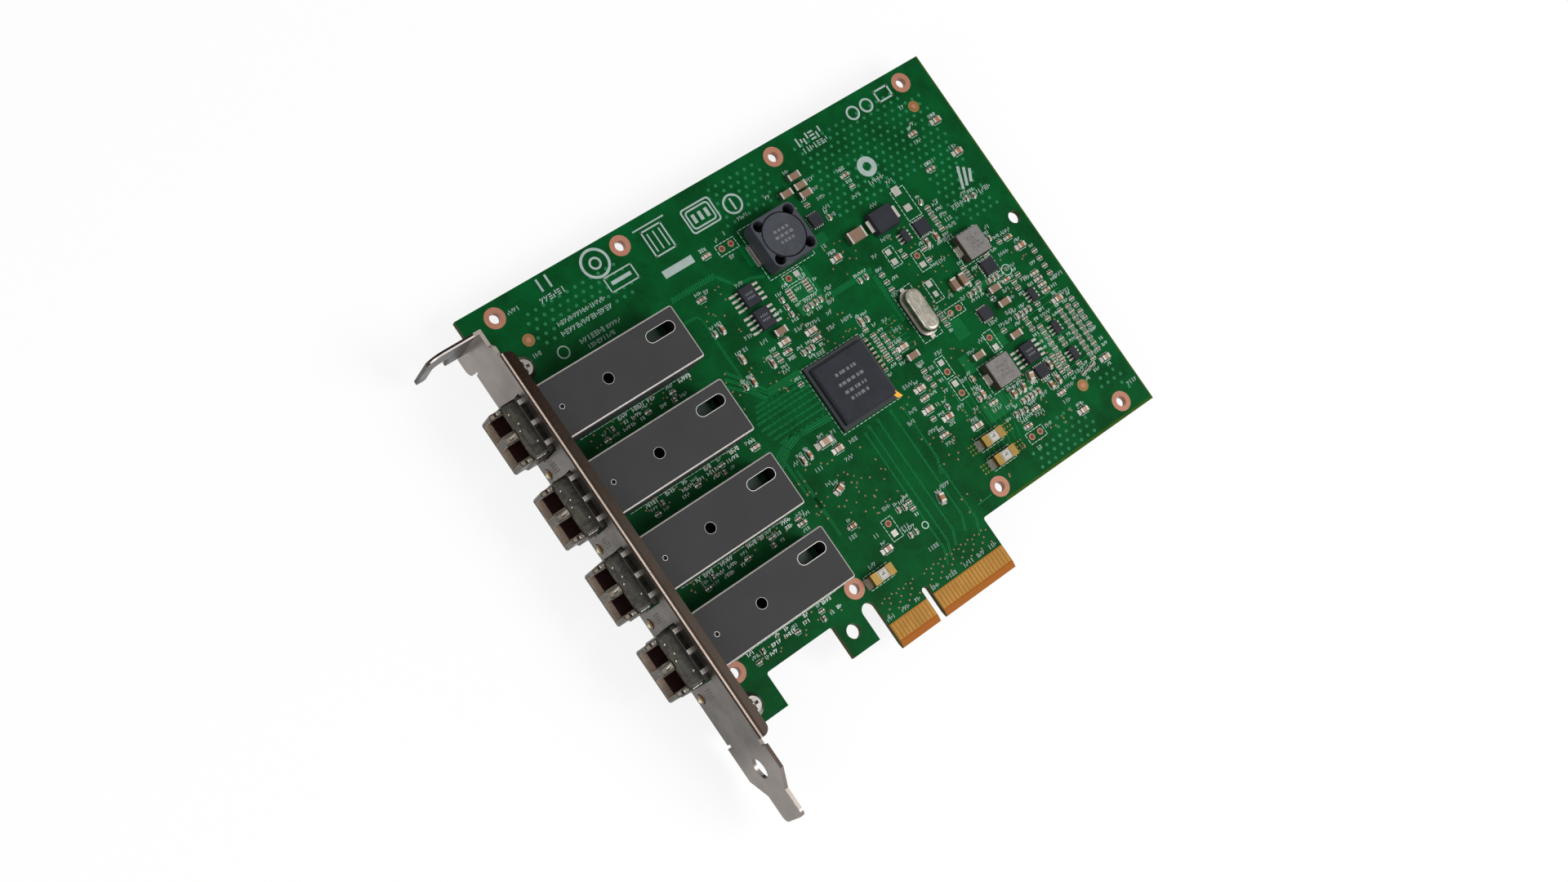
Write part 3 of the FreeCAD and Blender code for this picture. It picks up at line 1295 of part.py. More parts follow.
def make_fuses():
    """Square ceramic fuses and the metal caps on both of their ends."""
    ceramics = []
    caps = []
    core = "(fuse_width - 2 * fuse_skin)"
    for number, (x, y) in enumerate(FUSES, start=1):
        ceramics.append(centred_block(f"fuse_ceramic_{number}", x, y, f"{TOP} + fuse_skin",
                                      "fuse_length - 2 * fuse_skin", core, core))
        for side in ("-", "+"):
            name = f"{number}_{len(caps)}"
            shell = centred_block(f"fuse_cap_shell_{name}",
                                  f"{x} {side} (fuse_length - fuse_cap) / 2", y, TOP, "fuse_cap",
                                  "fuse_width", "fuse_width")
            hollow = centred_block(f"fuse_cap_hollow_{name}",
                                   f"{x} {side} ((fuse_length - fuse_cap) / 2 - fuse_skin)", y,
                                   f"{TOP} + fuse_skin", "fuse_cap", core, core)
            caps.append(cut(f"fuse_cap_{name}", shell, hollow))
    return [group("fuses", ceramics), group("fuse_caps", caps)]


# Large block capacitors: x, y, and whether the long side runs along Y.
BLOCKS = [(f"(choke_x + input_{number}_x)", f"({CHOKE_Y} + input_{number}_y)", False)
          for number in (1, 2, 3, 4)]
BLOCKS += [
    ("block_1_x", "block_1_y", False),
    ("block_2_x", "block_pair_y", True),
    ("block_3_x", "block_pair_y", True),
    ("block_4_x", "block_4_y", False),
    ("block_5_x", "block_5_y", False),
    ("block_5_x", "block_6_y", False),
    ("block_7_x", "block_7_y", False),
    ("block_8_x", "block_8_y", False),
]


def make_capacitors():
    """Block capacitors with plated ends, and the one larger bulk capacitor."""
    spots = [(x, y, turned, "block") for x, y, turned in BLOCKS]
    spots.append(("(diode_x - bulk_offset)", DIODE_Y, False, "bulk"))
    ceramics = []
    ends = []
    for number, (x, y, turned, kind) in enumerate(spots, start=1):
        long_side = f"({kind}_length - 2 * block_skin)"
        thin_side = f"({kind}_width - 2 * block_skin)"
        lift = f"{TOP} + block_skin"
        height = f"{kind}_height - 2 * block_skin"
        flat = (thin_side, long_side) if turned else (long_side, thin_side)
        ceramics.append(centred_block(f"capacitor_{number}", x, y, lift, flat[0], flat[1], height))
        for side in ("-", "+"):
            name = f"{number}_{len(ends)}"
            shift = f"{side} ({kind}_length - block_end) / 2"
            inner = f"{side} (({kind}_length - block_end) / 2 - block_skin)"
            if turned:
                shell = centred_block(f"end_shell_{name}", x, f"{y} {shift}", TOP,
                                      f"{kind}_width", "block_end", f"{kind}_height")
                hollow = centred_block(f"end_hollow_{name}", x, f"{y} {inner}", lift,
                                       thin_side, "block_end", height)
            else:
                shell = centred_block(f"end_shell_{name}", f"{x} {shift}", y, TOP,
                                      "block_end", f"{kind}_width", f"{kind}_height")
                hollow = centred_block(f"end_hollow_{name}", f"{x} {inner}", y, lift,
                                       "block_end", thin_side, height)
            ends.append(cut(f"capacitor_end_{name}", shell, hollow))
    return [group("block_capacitors", ceramics), group("capacitor_ends", ends)]


# Small flat chips: x, y, size along X, size along Y and height.
SQUARE_CASE = ("square_side", "square_side", "square_height")
WIDE_CASE = ("wide_side", "wide_side", "wide_height")
SMALL_CASE = ("small_width", "small_length", "small_height")
SMALL_CHIPS = [
    ("(choke_x + gate_driver_x)", f"({CHOKE_Y} + gate_driver_y)", SQUARE_CASE),
    ("regulator_1_x", "regulator_1_y", WIDE_CASE),
    ("regulator_2_x", "regulator_2_y", WIDE_CASE),
    ("regulator_3_x", "regulator_3_y", SQUARE_CASE),
    ("regulator_4_x", "regulator_4_y", SQUARE_CASE),
    ("small_1_x", "small_1_y", SMALL_CASE),
    ("small_2_x", "small_2_y", SMALL_CASE),
    ("small_3_x", "small_3_y", SMALL_CASE),
    ("small_3_x", "small_4_y", SMALL_CASE),
]


def make_small_chips():
    """Small power and logic chips, flat on the board."""
    chips = [centred_block(f"small_chip_{number}", x, y, TOP, *case)
             for number, (x, y, case) in enumerate(SMALL_CHIPS, start=1)]
    return group("small_chips", chips)


# ---------------------------------------------------------------- the card

SOICS = [("flash_memory_1", "flash_x", "flash_1_y"), ("flash_memory_2", "flash_x", "flash_2_y"),
         ("power_switch", "switch_x", "switch_y")]

nodes = [make_board(), make_hole_plating(), make_edge_contacts(), make_bracket(),
         make_clinch_nuts(), make_bracket_screws()]
for index in MODULES:
    nodes += [make_shield(index), make_receptacle(index), make_gasket(index),
              make_optical_unit("laser_unit", index, "-"),
              make_optical_unit("receiver_unit", index, "+"),
              make_inner_board(index), make_pins(index), make_indicator(index)]
nodes += make_controller() + make_choke() + [make_coil(1), make_coil(2)]
crystal, crystal_leads = make_crystal()
diode, diode_tabs = make_diode()
nodes += crystal + [diode, group("power_part_leads", make_coil_leads() + crystal_leads + diode_tabs)]
nodes += [make_soic(*chip) for chip in SOICS] + [make_leads(SOICS)]
nodes += make_fuses() + make_capacitors() + [make_small_chips()]
doc.recompute()

for item in doc.Objects:
    if "Invalid" in item.State or "Error" in item.State:
        raise ValueError(f"{item.Label} is {item.State}")

os.makedirs("parts", exist_ok=True)
for node in nodes:
    if node.Shape.isNull() or not node.Shape.isValid() or not node.Shape.Solids:
        raise ValueError(f"{node.Label} has no valid solid")
    node.Shape.exportStep(f"parts/{node.Label}.step")
print(len(nodes), "nodes")
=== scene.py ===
"""The look of the quad-port fibre network card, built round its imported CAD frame.

Lengths here are millimetres in the card's own frame: x from the key notch away from the bracket,
y up from the contacts, z out of the component side. They become metres when a mesh is made.
"""

import math
import random

import bmesh
import bpy
from mathutils import Matrix, Vector


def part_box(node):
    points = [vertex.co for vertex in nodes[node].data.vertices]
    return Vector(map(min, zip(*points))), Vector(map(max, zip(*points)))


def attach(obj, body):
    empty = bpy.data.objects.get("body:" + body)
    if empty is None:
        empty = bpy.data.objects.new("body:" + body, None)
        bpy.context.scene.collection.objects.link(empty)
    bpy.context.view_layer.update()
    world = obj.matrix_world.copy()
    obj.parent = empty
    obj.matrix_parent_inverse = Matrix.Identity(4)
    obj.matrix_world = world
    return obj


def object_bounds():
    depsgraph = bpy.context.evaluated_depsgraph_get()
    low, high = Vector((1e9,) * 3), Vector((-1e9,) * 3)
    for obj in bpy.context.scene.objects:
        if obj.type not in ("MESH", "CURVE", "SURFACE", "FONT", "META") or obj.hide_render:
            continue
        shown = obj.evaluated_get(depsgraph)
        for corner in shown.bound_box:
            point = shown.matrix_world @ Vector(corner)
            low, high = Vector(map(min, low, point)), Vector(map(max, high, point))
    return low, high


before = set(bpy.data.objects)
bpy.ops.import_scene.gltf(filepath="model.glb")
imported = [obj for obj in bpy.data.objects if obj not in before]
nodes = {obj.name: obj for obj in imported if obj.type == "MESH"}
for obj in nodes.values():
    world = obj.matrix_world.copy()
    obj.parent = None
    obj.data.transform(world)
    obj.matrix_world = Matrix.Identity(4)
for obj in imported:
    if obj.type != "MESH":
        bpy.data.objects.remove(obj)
solid_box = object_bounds()
chance = random.Random(7)

MM = 0.001
SIDES = (-1, 1)


def extent(node):
    """A CAD node's lowest and highest corners, in millimetres."""
    low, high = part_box(node)
    return low / MM, high / MM


def mid(low, high):
    """The x and y midway between two corners."""
    return (low.x + high.x) / 2, (low.y + high.y) / 2


def solids(node):
    """The lowest and highest corners of each separate solid in a node, in millimetres."""
    mesh = bmesh.new()
    mesh.from_mesh(nodes[node].data)
    mesh.transform(nodes[node].matrix_world)
    bmesh.ops.remove_doubles(mesh, verts=mesh.verts, dist=0.001 * MM)
    boxes = []
    left = set(mesh.verts)
    while left:
        group = {left.pop()}
        front = list(group)
        while front:
            for edge in front.pop().link_edges:
                found = left.intersection(edge.verts)
                left -= found
                group |= found
                front += found
        places = [vert.co / MM for vert in group]
        boxes.append([Vector([pick(place[axis] for place in places) for axis in range(3)])
                      for pick in (min, max)])
    mesh.free()
    return sorted(boxes, key=lambda box: tuple(round(part, 3) for part in box[0]))


BOARD_LOW, BOARD_HIGH = extent("circuit_board")
TOP = BOARD_HIGH.z
UNDER = BOARD_LOW.z
BOARD_BASE = 13.05  # y of the board's lower edge beside the tongue
MASK_EDGE = 5.85  # y above which the tongue is masked
BEVEL = 1.75  # y of the top of the tongue's bevel
TONGUE_LEFT = -12.5
BARE_MARGIN = 30.0  # x from which the mask is thin along the lower edge
FACE = -57.15  # x of the bracket's outer face
FLANGE = 13.2  # z above which the bracket is its long flange
NOSE = extent("lc_receptacle_1")[0].x
COLLAR = NOSE + 3.12  # x of the front of a receptacle's collar
BRACKET_TOP = extent("bracket")[1].y
MODULES = (1, 2, 3, 4)
SHIELDS = [extent(f"transceiver_shield_{number}") for number in MODULES]
CENTRES = [mid(*shield)[1] for shield in SHIELDS]
RINGS = [(x, y) for x in (-48.1, -14.15, 30.25, 70.0) for y in (16.7, 107.5)]
SOICS = ("flash_memory_1", "flash_memory_2", "power_switch")
COILS = ("filter_inductor_1", "filter_inductor_2")
LARGE_PARTS = ("controller_package", "inductor_base", *COILS, "crystal_can", "power_diode", *SOICS)
LARGE_BOXES = [extent(name) for name in LARGE_PARTS] + SHIELDS + solids("small_chips")


# ---------------------------------------------------------------- materials

class Shader:
    """A node material in the making, with short helpers for its nodes."""

    def __init__(self, name):
        self.material = bpy.data.materials.new(name)
        self.material.use_nodes = True
        self.tree = self.material.node_tree
        self.surface = self.tree.nodes["Principled BSDF"]
        self.place = self.node("TexCoord").outputs["Object"]

    def node(self, kind, **inputs):
        """A new node of a kind, with its inputs linked or set."""
        node = self.tree.nodes.new("ShaderNode" + kind)
        for name, value in inputs.items():
            self.put(node.inputs[name.replace("_", " ")], value)
        return node

    def put(self, socket, value):
        """Link a node's output to a socket, or set the socket's own value."""
        if isinstance(value, bpy.types.NodeSocket):
            self.tree.links.new(value, socket)
        elif hasattr(value, "__len__") and len(value) == 3 and len(socket.default_value) == 4:
            socket.default_value = (*value, 1)
        else:
            socket.default_value = value

    def set(self, **inputs):
        """Set the surface's inputs by name, with underscores for spaces."""
        for name, value in inputs.items():
            title = name.replace("_", " ").title().replace("Ior", "IOR")
            self.put(self.surface.inputs[title], value)

    def noise(self, size, detail=3.0, roughness=0.6, stretch=None):
        """Soft noise whose blotches are about size millimetres across, stretched along the axes."""
        place = self.place
        if stretch:
            place = self.node("Mapping", Vector=place, Scale=stretch).outputs["Vector"]
        return self.node("TexNoise", Vector=place, Scale=1 / (size * MM), Detail=detail,
                         Roughness=roughness).outputs["Fac"]

    def ramp(self, value, low, high, start=0.0, end=1.0):
        """Map a value's range from low to high onto start to end, and hold it there."""
        return self.node("MapRange", Value=value, From_Min=low, From_Max=high, To_Min=start,
                         To_Max=end).outputs["Result"]

    def math(self, operation, first, second=0.0):
        """One arithmetic step."""
        node = self.node("Math")
        node.operation = operation
        self.put(node.inputs[0], first)
        self.put(node.inputs[1], second)
        return node.outputs["Value"]

    def above(self, value, limit):
        """1 where a value is more than a limit, else 0."""
        return self.math("GREATER_THAN", value, limit)

    def below(self, value, limit):
        """1 where a value is less than a limit, else 0."""
        return self.math("LESS_THAN", value, limit)

    def both(self, first, second):
        """1 where both shares are 1."""
        return self.math("MULTIPLY", first, second)

    def blend(self, share, first, second):
        """A mix of two colours."""
        node = self.node("Mix")
        node.data_type = "RGBA"
        self.put(node.inputs["Factor"], share)
        self.put(node.inputs[6], first)
        self.put(node.inputs[7], second)
        return node.outputs[2]

    def mottle(self, value, low, high, dark, light):
        """Two screen colours, mixed by where a value lies between low and high."""
        return self.blend(self.ramp(value, low, high), colour(*dark), colour(*light))

    def tint(self, value, low, high, tone, spread):
        """A colour that runs from darker to lighter as a value rises from low to high."""
        return self.blend(self.ramp(value, low, high), shaded(tone, 1 - spread),
                          shaded(tone, 1 + spread))

    def stain_and_shade(self, base, value, low, high, most, tone):
        """A base that turns towards a screen colour as a value goes from low to high; used for real
        stains and for painted light and shade.
        """
        return self.blend(self.ramp(value, low, high, 0.0, most), base, colour(*tone))

    def axes(self, vector=None):
        """The x, y and z of a vector, or of the place in metres."""
        return self.node("SeparateXYZ", Vector=vector or self.place).outputs

    def upward(self):
        """How far the face looks up: 1 on top, 0 on the sides, -1 below."""
        return self.axes(self.node("NewGeometry").outputs["Normal"])[2]

    def bump(self, height, depth):
        """Bump from a height between 0 and 1, depth in millimetres."""
        node = self.node("Bump", Height=height, Strength=1.0, Distance=depth * MM)
        self.put(self.surface.inputs["Normal"], node.outputs["Normal"])


def colour(red, green, blue):
    """A colour given as it looks on a screen, from 0 to 255, as linear light."""
    return tuple((part / 255) ** 2.2 for part in (red, green, blue))


def shaded(tone, amount):
    """A linear colour made lighter or darker by a factor."""
    return tuple(min(1.0, part * amount) for part in tone)


def plain(name, tone, roughness, metallic=0.0, grain=0.25, spread=0.16, bump=0.006, gloss=0.5):
    """A surface with fine grain in its colour, gloss and height, from a screen colour."""
    shader = Shader(name)
    fine = shader.noise(grain)
    coarse = shader.noise(grain * 14, 2.0)
    share = shader.math("ADD", shader.both(fine, 0.5), shader.both(coarse, 0.5))
    shader.set(base_color=shader.tint(share, 0.3, 0.7, colour(*tone), spread),
               roughness=shader.ramp(fine, 0.25, 0.75, roughness - 0.07, roughness + 0.07),
               metallic=metallic, specular_ior_level=gloss)
    shader.bump(fine, bump)
    return shader.material


def brushed(name, tone, roughness, spread=0.14, along=(0.06, 1.0, 1.0), size=0.12):
    """Metal with fine brush lines along one axis and soft stains, from a screen colour."""
    shader = Shader(name)
    lines = shader.noise(size, 4.0, 0.7, along)
    stains = shader.noise(6.0, 3.0)
    tone = colour(*tone)
    tinted = shader.tint(lines, 0.3, 0.7, tone, spread)
    shader.set(base_color=shader.blend(shader.ramp(stains, 0.45, 0.75, 0.0, 0.35), tinted,
                                       shaded(tone, 0.72)),
               roughness=shader.ramp(stains, 0.3, 0.7, roughness - 0.06, roughness + 0.1),
               metallic=1.0)
    shader.bump(lines, 0.004)
    return shader.material


def board_material():
    """Green solder mask with faint planes and weave, bare laminate on the tongue, raw edges."""
    shader = Shader("solder_mask_green")
    green = (1, 79, 39)
    x, y, _ = shader.axes()
    clouds = shader.noise(9.0, 4.0, 0.65)
    fine = shader.noise(0.45, 3.0)
    weave = shader.math("ADD", shader.noise(0.7, 1.0, 0.5, (1.0, 0.25, 1.0)),
                        shader.noise(0.7, 1.0, 0.5, (0.25, 1.0, 1.0)))
    mask = shader.mottle(clouds, 0.36, 0.64, (0, 60, 28), green)
    mask = shader.blend(shader.ramp(fine, 0.5, 0.8, 0.0, 0.5), mask, shaded(colour(*green), 1.25))
    tongue = shader.both(shader.below(y, MASK_EDGE * MM), shader.above(x, TONGUE_LEFT * MM))
    bare = shader.blend(shader.below(y, BEVEL * MM), colour(160, 106, 48), colour(150, 88, 34))
    mask = shader.blend(tongue, mask, bare)
    outer = shader.above(x, (BOARD_HIGH.x - 0.4) * MM)
    base = shader.both(shader.above(x, BARE_MARGIN * MM), shader.below(y, (BOARD_BASE + 0.65) * MM))
    margin = shader.both(shader.math("MAXIMUM", outer, base),
                         shader.ramp(shader.noise(1.2, 3.0, 0.7), 0.35, 0.6, 0.35, 0.9))
    mask = shader.blend(margin, mask, colour(62, 84, 12))
    side = shader.below(shader.math("ABSOLUTE", shader.upward()), 0.5)
    edge = shader.blend(shader.noise(0.5, 4.0, 0.7, (1.0, 1.0, 6.0)), colour(70, 62, 24),
                        colour(48, 66, 26))
    shader.set(base_color=shader.blend(side, mask, edge),
               roughness=shader.ramp(fine, 0.3, 0.7, 0.38, 0.5), specular_ior_level=0.05)
    shader.bump(shader.math("ADD", weave, fine), 0.012)
    return shader.material


def bracket_material():
    """Nickel-plated steel: pale face with painted light and shade along it, a painted highlight on the
    fold with painted shade beside it, a painted dark reflection on the long flange's top, and the tab
    painted darker with painted highlight and shade on its edge.
    """
    shader = Shader("bracket_steel")
    x, y, z = shader.axes()
    lines = shader.noise(0.1, 4.0, 0.7, (1.0, 0.08, 1.0))
    specks = shader.noise(0.35, 4.0, 0.75)
    stains = shader.noise(7.0, 3.0)
    light = shader.mottle(lines, 0.3, 0.7, (94, 88, 84), (114, 108, 103))
    light = shader.stain_and_shade(light, stains, 0.45, 0.7, 0.5, (86, 80, 75))
    # painted light and shade along the face: lighter towards the top, darker lower down, lighter again
    # at the foot
    for start, end, most, tone in ((80, 106, 0.7, (162, 153, 147)), (48, 6, 0.5, (92, 86, 81)),
                                   (4, -3, 0.8, (138, 130, 124))):
        light = shader.stain_and_shade(light, y, start * MM, end * MM, most, tone)
    # painted shade: the tab beyond the face is darker
    tab = shader.below(x, (FACE - 1.2) * MM)
    light = shader.blend(tab, light, shader.mottle(specks, 0.35, 0.65, (40, 37, 35), (78, 74, 71)))
    # painted dark reflection on the long flange's top, lighter from y 92 down to y 52
    dark = shader.mottle(specks, 0.3, 0.7, (30, 22, 19), (52, 41, 36))
    dark = shader.stain_and_shade(dark, y, 92 * MM, 52 * MM, 0.6, (72, 65, 59))
    upward = shader.upward()
    raised = shader.above(z, FLANGE * MM)
    inside = shader.both(raised, shader.above(x, (FACE - 0.5) * MM))
    top = shader.both(inside, shader.above(upward, 0.86))
    # painted shade where the bend starts, and a painted highlight on the bend above it
    fold_highlight = shader.both(raised, shader.above(upward, 0.6))
    fold_shade = shader.both(raised, shader.above(upward, 0.3))
    tint = shader.blend(fold_shade, light, colour(42, 35, 31))
    tint = shader.blend(fold_highlight, tint, shader.blend(specks, colour(86, 76, 70), colour(176, 160, 149)))
    # painted highlight on the tab's faces that look up, and painted shade on them along the bracket's
    # top edge
    rim = shader.both(tab, shader.above(upward, 0.5))
    tint = shader.blend(rim, tint, colour(206, 198, 192))
    upper = shader.above(y, (BRACKET_TOP - 0.5) * MM)
    tint = shader.blend(shader.both(rim, upper), tint, colour(44, 39, 36))
    shader.set(base_color=shader.blend(top, tint, dark),
               roughness=shader.ramp(stains, 0.3, 0.7, 0.3, 0.46), metallic=1.0)
    shader.bump(shader.math("ADD", lines, specks), 0.006)
    return shader.material


def shield_material():
    """Dark satin metal, even on top, with a painted highlight where the sheet is bent."""
    shader = Shader("shield_steel")
    lines = shader.noise(0.14, 3.0, 0.6, (0.05, 1.0, 1.0))
    clouds = shader.noise(12.0, 2.0)
    satin = shader.tint(clouds, 0.35, 0.65, colour(59, 59, 60), 0.06)
    upward = shader.upward()
    # painted highlight on the bent edges, chosen by how far the face looks up
    bend = shader.both(shader.above(upward, 0.35), shader.below(upward, 0.985))
    bend_highlight = shader.blend(shader.noise(0.5, 3.0, 0.8), colour(112, 108, 104), colour(204, 198, 192))
    shader.set(base_color=shader.blend(bend, satin, bend_highlight),
               roughness=shader.ramp(lines, 0.3, 0.7, 0.44, 0.54),
               metallic=shader.both(bend, 0.4), specular_ior_level=0.1)
    shader.bump(lines, 0.002)
    return shader.material


def powder_material():
    """Pressed grey powder with coarse speckle on top and painted shade on the sides."""
    shader = Shader("pressed_powder")
    grain = shader.noise(0.3, 4.0, 0.8)
    blotch = shader.noise(1.6, 2.0)
    tone = shader.mottle(grain, 0.3, 0.7, (98, 94, 92), (140, 136, 134))
    tone = shader.stain_and_shade(tone, blotch, 0.4, 0.7, 0.4, (102, 96, 94))
    # painted shade: the sides are darker than the top
    side = shader.below(shader.math("ABSOLUTE", shader.upward()), 0.5)
    side_shade = shader.mottle(grain, 0.3, 0.7, (34, 30, 26), (72, 62, 54))
    shader.set(base_color=shader.blend(side, tone, side_shade), roughness=0.62,
               specular_ior_level=0.2)
    shader.bump(grain, 0.03)
    return shader.material


def receptacle_material():
    """Dark moulded plastic, mottled green-grey and brown, with soft dents that catch the light and
    painted shade towards the back of the collar.
    """
    shader = Shader("receptacle_plastic")
    mottle = shader.noise(1.1, 4.0, 0.75)
    fine = shader.noise(0.3, 3.0, 0.7)
    tone = shader.mottle(mottle, 0.36, 0.66, (32, 32, 26), (92, 88, 76))
    tone = shader.stain_and_shade(tone, fine, 0.5, 0.75, 0.5, (64, 50, 42))
    x = shader.axes()[0]
    # painted shade: the collar darkens towards its back, near the bracket
    collar = shader.above(x, COLLAR * MM)
    depth = shader.ramp(x, (NOSE + 4.6) * MM, (NOSE + 6.2) * MM, 0.4, 0.8)
    tone = shader.blend(shader.both(collar, depth), tone, colour(8, 8, 6))
    shader.set(base_color=tone, roughness=shader.ramp(fine, 0.3, 0.7, 0.24, 0.44),
               specular_ior_level=0.22)
    shader.bump(mottle, 0.09)
    return shader.material


MATERIALS = {
    "board": board_material(),
    "bracket": bracket_material(),
    "shield": shield_material(),
    "powder": powder_material(),
    "plastic": receptacle_material(),
    "trace": plain("mask_over_copper", (20, 112, 62), 0.42, grain=0.5, gloss=0.1),
    "plane": plain("mask_over_plane", (4, 90, 46), 0.42, grain=0.7, gloss=0.08),
    "dot": plain("mask_over_dots", (30, 106, 68), 0.36, grain=0.5, spread=0.4, gloss=0.2),
    "print": plain("white_print", (151, 165, 160), 0.75, grain=0.12, spread=0.2, bump=0.01),
    "thin_print": plain("thin_white_print", (180, 202, 192), 0.75, grain=0.12, spread=0.2),
    "ring": plain("ring_copper", (156, 104, 82), 0.45, 0.25, grain=0.5, spread=0.1),
    "gold": brushed("contact_gold", (122, 92, 50), 0.42, 0.16),
    "via": plain("via_copper", (120, 92, 68), 0.45, 0.4, grain=0.2),
    "bore": plain("bore_brown", (84, 26, 18), 0.6, grain=0.3),
    "fiducial": plain("fiducial_copper", (124, 90, 42), 0.45, 0.25, grain=0.4),
    "tin": brushed("plated_tin", (170, 165, 158), 0.32, 0.16, (1.0, 1.0, 1.0), 0.4),
    "solder": plain("solder", (164, 160, 154), 0.3, 0.75, grain=0.5, spread=0.18, bump=0.02),
    "steel": brushed("fastener_steel", (142, 138, 133), 0.28),
    # painted highlight: near-white metal for the shield rims, and for the gasket fingers' bright steel
    "highlight_metal": plain("bright_highlight_metal", (194, 190, 186), 0.35, 0.6, grain=0.3, spread=0.08),
    "ferrule": plain("white_ferrule", (206, 202, 190), 0.25, grain=0.3, spread=0.05),
    "optics": brushed("optical_steel", (140, 130, 106), 0.3),
    # painted highlight on the receptacles' edges and corners
    "edge": plain("plastic_edge_highlight", (106, 97, 85), 0.36, grain=0.35, spread=0.5, bump=0.04),
    "dark": plain("port_shadow", (36, 14, 10), 0.6, grain=0.4, gloss=0.2),
    "gasket": brushed("gasket_steel", (82, 78, 75), 0.34),
    "module_board": plain("module_laminate", (16, 60, 40), 0.4, grain=0.6),
    "pin": brushed("pin_tin", (164, 159, 150), 0.3),
    "resin": plain("indicator_resin", (196, 186, 150), 0.2, grain=0.6, spread=0.06),
    "amber": plain("indicator_amber", (104, 66, 32), 0.35, grain=0.4, spread=0.2),
    "glow": plain("indicator_glint", (250, 244, 190), 0.25, grain=0.6, spread=0.03),
    "package": plain("package_laminate", (38, 42, 42), 0.5, grain=0.3, gloss=0.3),
    "mould": plain("mould_compound", (44, 45, 50), 0.55, grain=0.22, spread=0.3, bump=0.02, gloss=0.12),
    "ferrite": plain("ferrite", (60, 62, 69), 0.5, grain=0.35, spread=0.38, bump=0.04, gloss=0.2),
    "winding": plain("winding_copper", (98, 54, 30), 0.4, 0.6, grain=0.2),
    "can": brushed("can_metal", (146, 141, 130), 0.3, 0.44, (1.0, 0.4, 1.0), 0.5),
    "header": plain("header_plastic", (30, 28, 28), 0.5, gloss=0.3),
    "ceramic": plain("fuse_ceramic", (156, 151, 134), 0.45, grain=0.4, spread=0.08),
    "cap_gold": brushed("cap_gold", (126, 103, 60), 0.32, 0.2),
    "brown": plain("capacitor_brown", (122, 98, 80), 0.5, grain=0.3, spread=0.14, gloss=0.3),
    "tan": plain("capacitor_tan", (158, 132, 110), 0.5, grain=0.3, spread=0.14, gloss=0.3),
    "orange": plain("capacitor_orange", (146, 100, 70), 0.5, grain=0.3, spread=0.14, gloss=0.3),
    "black": plain("resistor_black", (38, 36, 40), 0.45, grain=0.3, spread=0.2),
    "mark": plain("corner_mark", (240, 166, 44), 0.6, grain=0.3, spread=0.06),
    "faint": plain("faint_print", (94, 95, 100), 0.6, grain=0.15, spread=0.45),
    "stamp": plain("dark_stamp", (78, 74, 74), 0.6, grain=0.15, spread=0.3),
    "crown": plain("collar_crown", (62, 60, 54), 0.5, grain=0.5, spread=0.5, bump=0.05, gloss=0.2),
    # a brighter copy of the print, painted light for the figures in the shaded gaps between
    # transceivers
    "lit_gap_print": plain("lit_gap_print", (246, 255, 250), 0.7, grain=0.12, spread=0.1),
    "plate": plain("fuse_plate", (174, 171, 164), 0.5, grain=0.3, spread=0.12),
    # painted light on the front of each port
    "lit_front": plain("port_front_painted_light", (150, 130, 114), 0.4, grain=0.5, spread=0.45, bump=0.03),
}

NODE_MATERIALS = {
    "circuit_board": "board", "hole_plating": "ring", "edge_contacts": "gold",
    "bracket": "bracket", "clinch_nuts": "steel", "bracket_screws": "steel",
    "transceiver_shield": "shield", "lc_receptacle": "plastic", "gasket": "gasket",
    "laser_unit": "optics", "receiver_unit": "optics", "transceiver_board": "module_board",
    "transceiver_pins": "pin", "port_indicator": "amber", "controller_package": "package",
    "controller_cap": "mould", "inductor_shield": "ferrite", "inductor_core": "ferrite",
    "inductor_winding": "winding", "inductor_base": "header", "inductor_terminals": "tin",
    "filter_inductor": "powder", "crystal_can": "can", "crystal_base": "header",
    "power_diode": "mould", "power_part_leads": "tin", "flash_memory": "mould",
    "power_switch": "mould", "chip_leads": "tin", "fuses": "ceramic", "fuse_caps": "cap_gold",
    "block_capacitors": "brown", "capacitor_ends": "tin", "small_chips": "mould",
}


def dress_nodes():
    """Give every CAD node its finished material."""
    for name, item in nodes.items():
        kind = name if name in NODE_MATERIALS else name.rsplit("_", 1)[0]
        item.data.materials.clear()
        item.data.materials.append(MATERIALS[NODE_MATERIALS[kind]])


# ---------------------------------------------------------------- building pieces

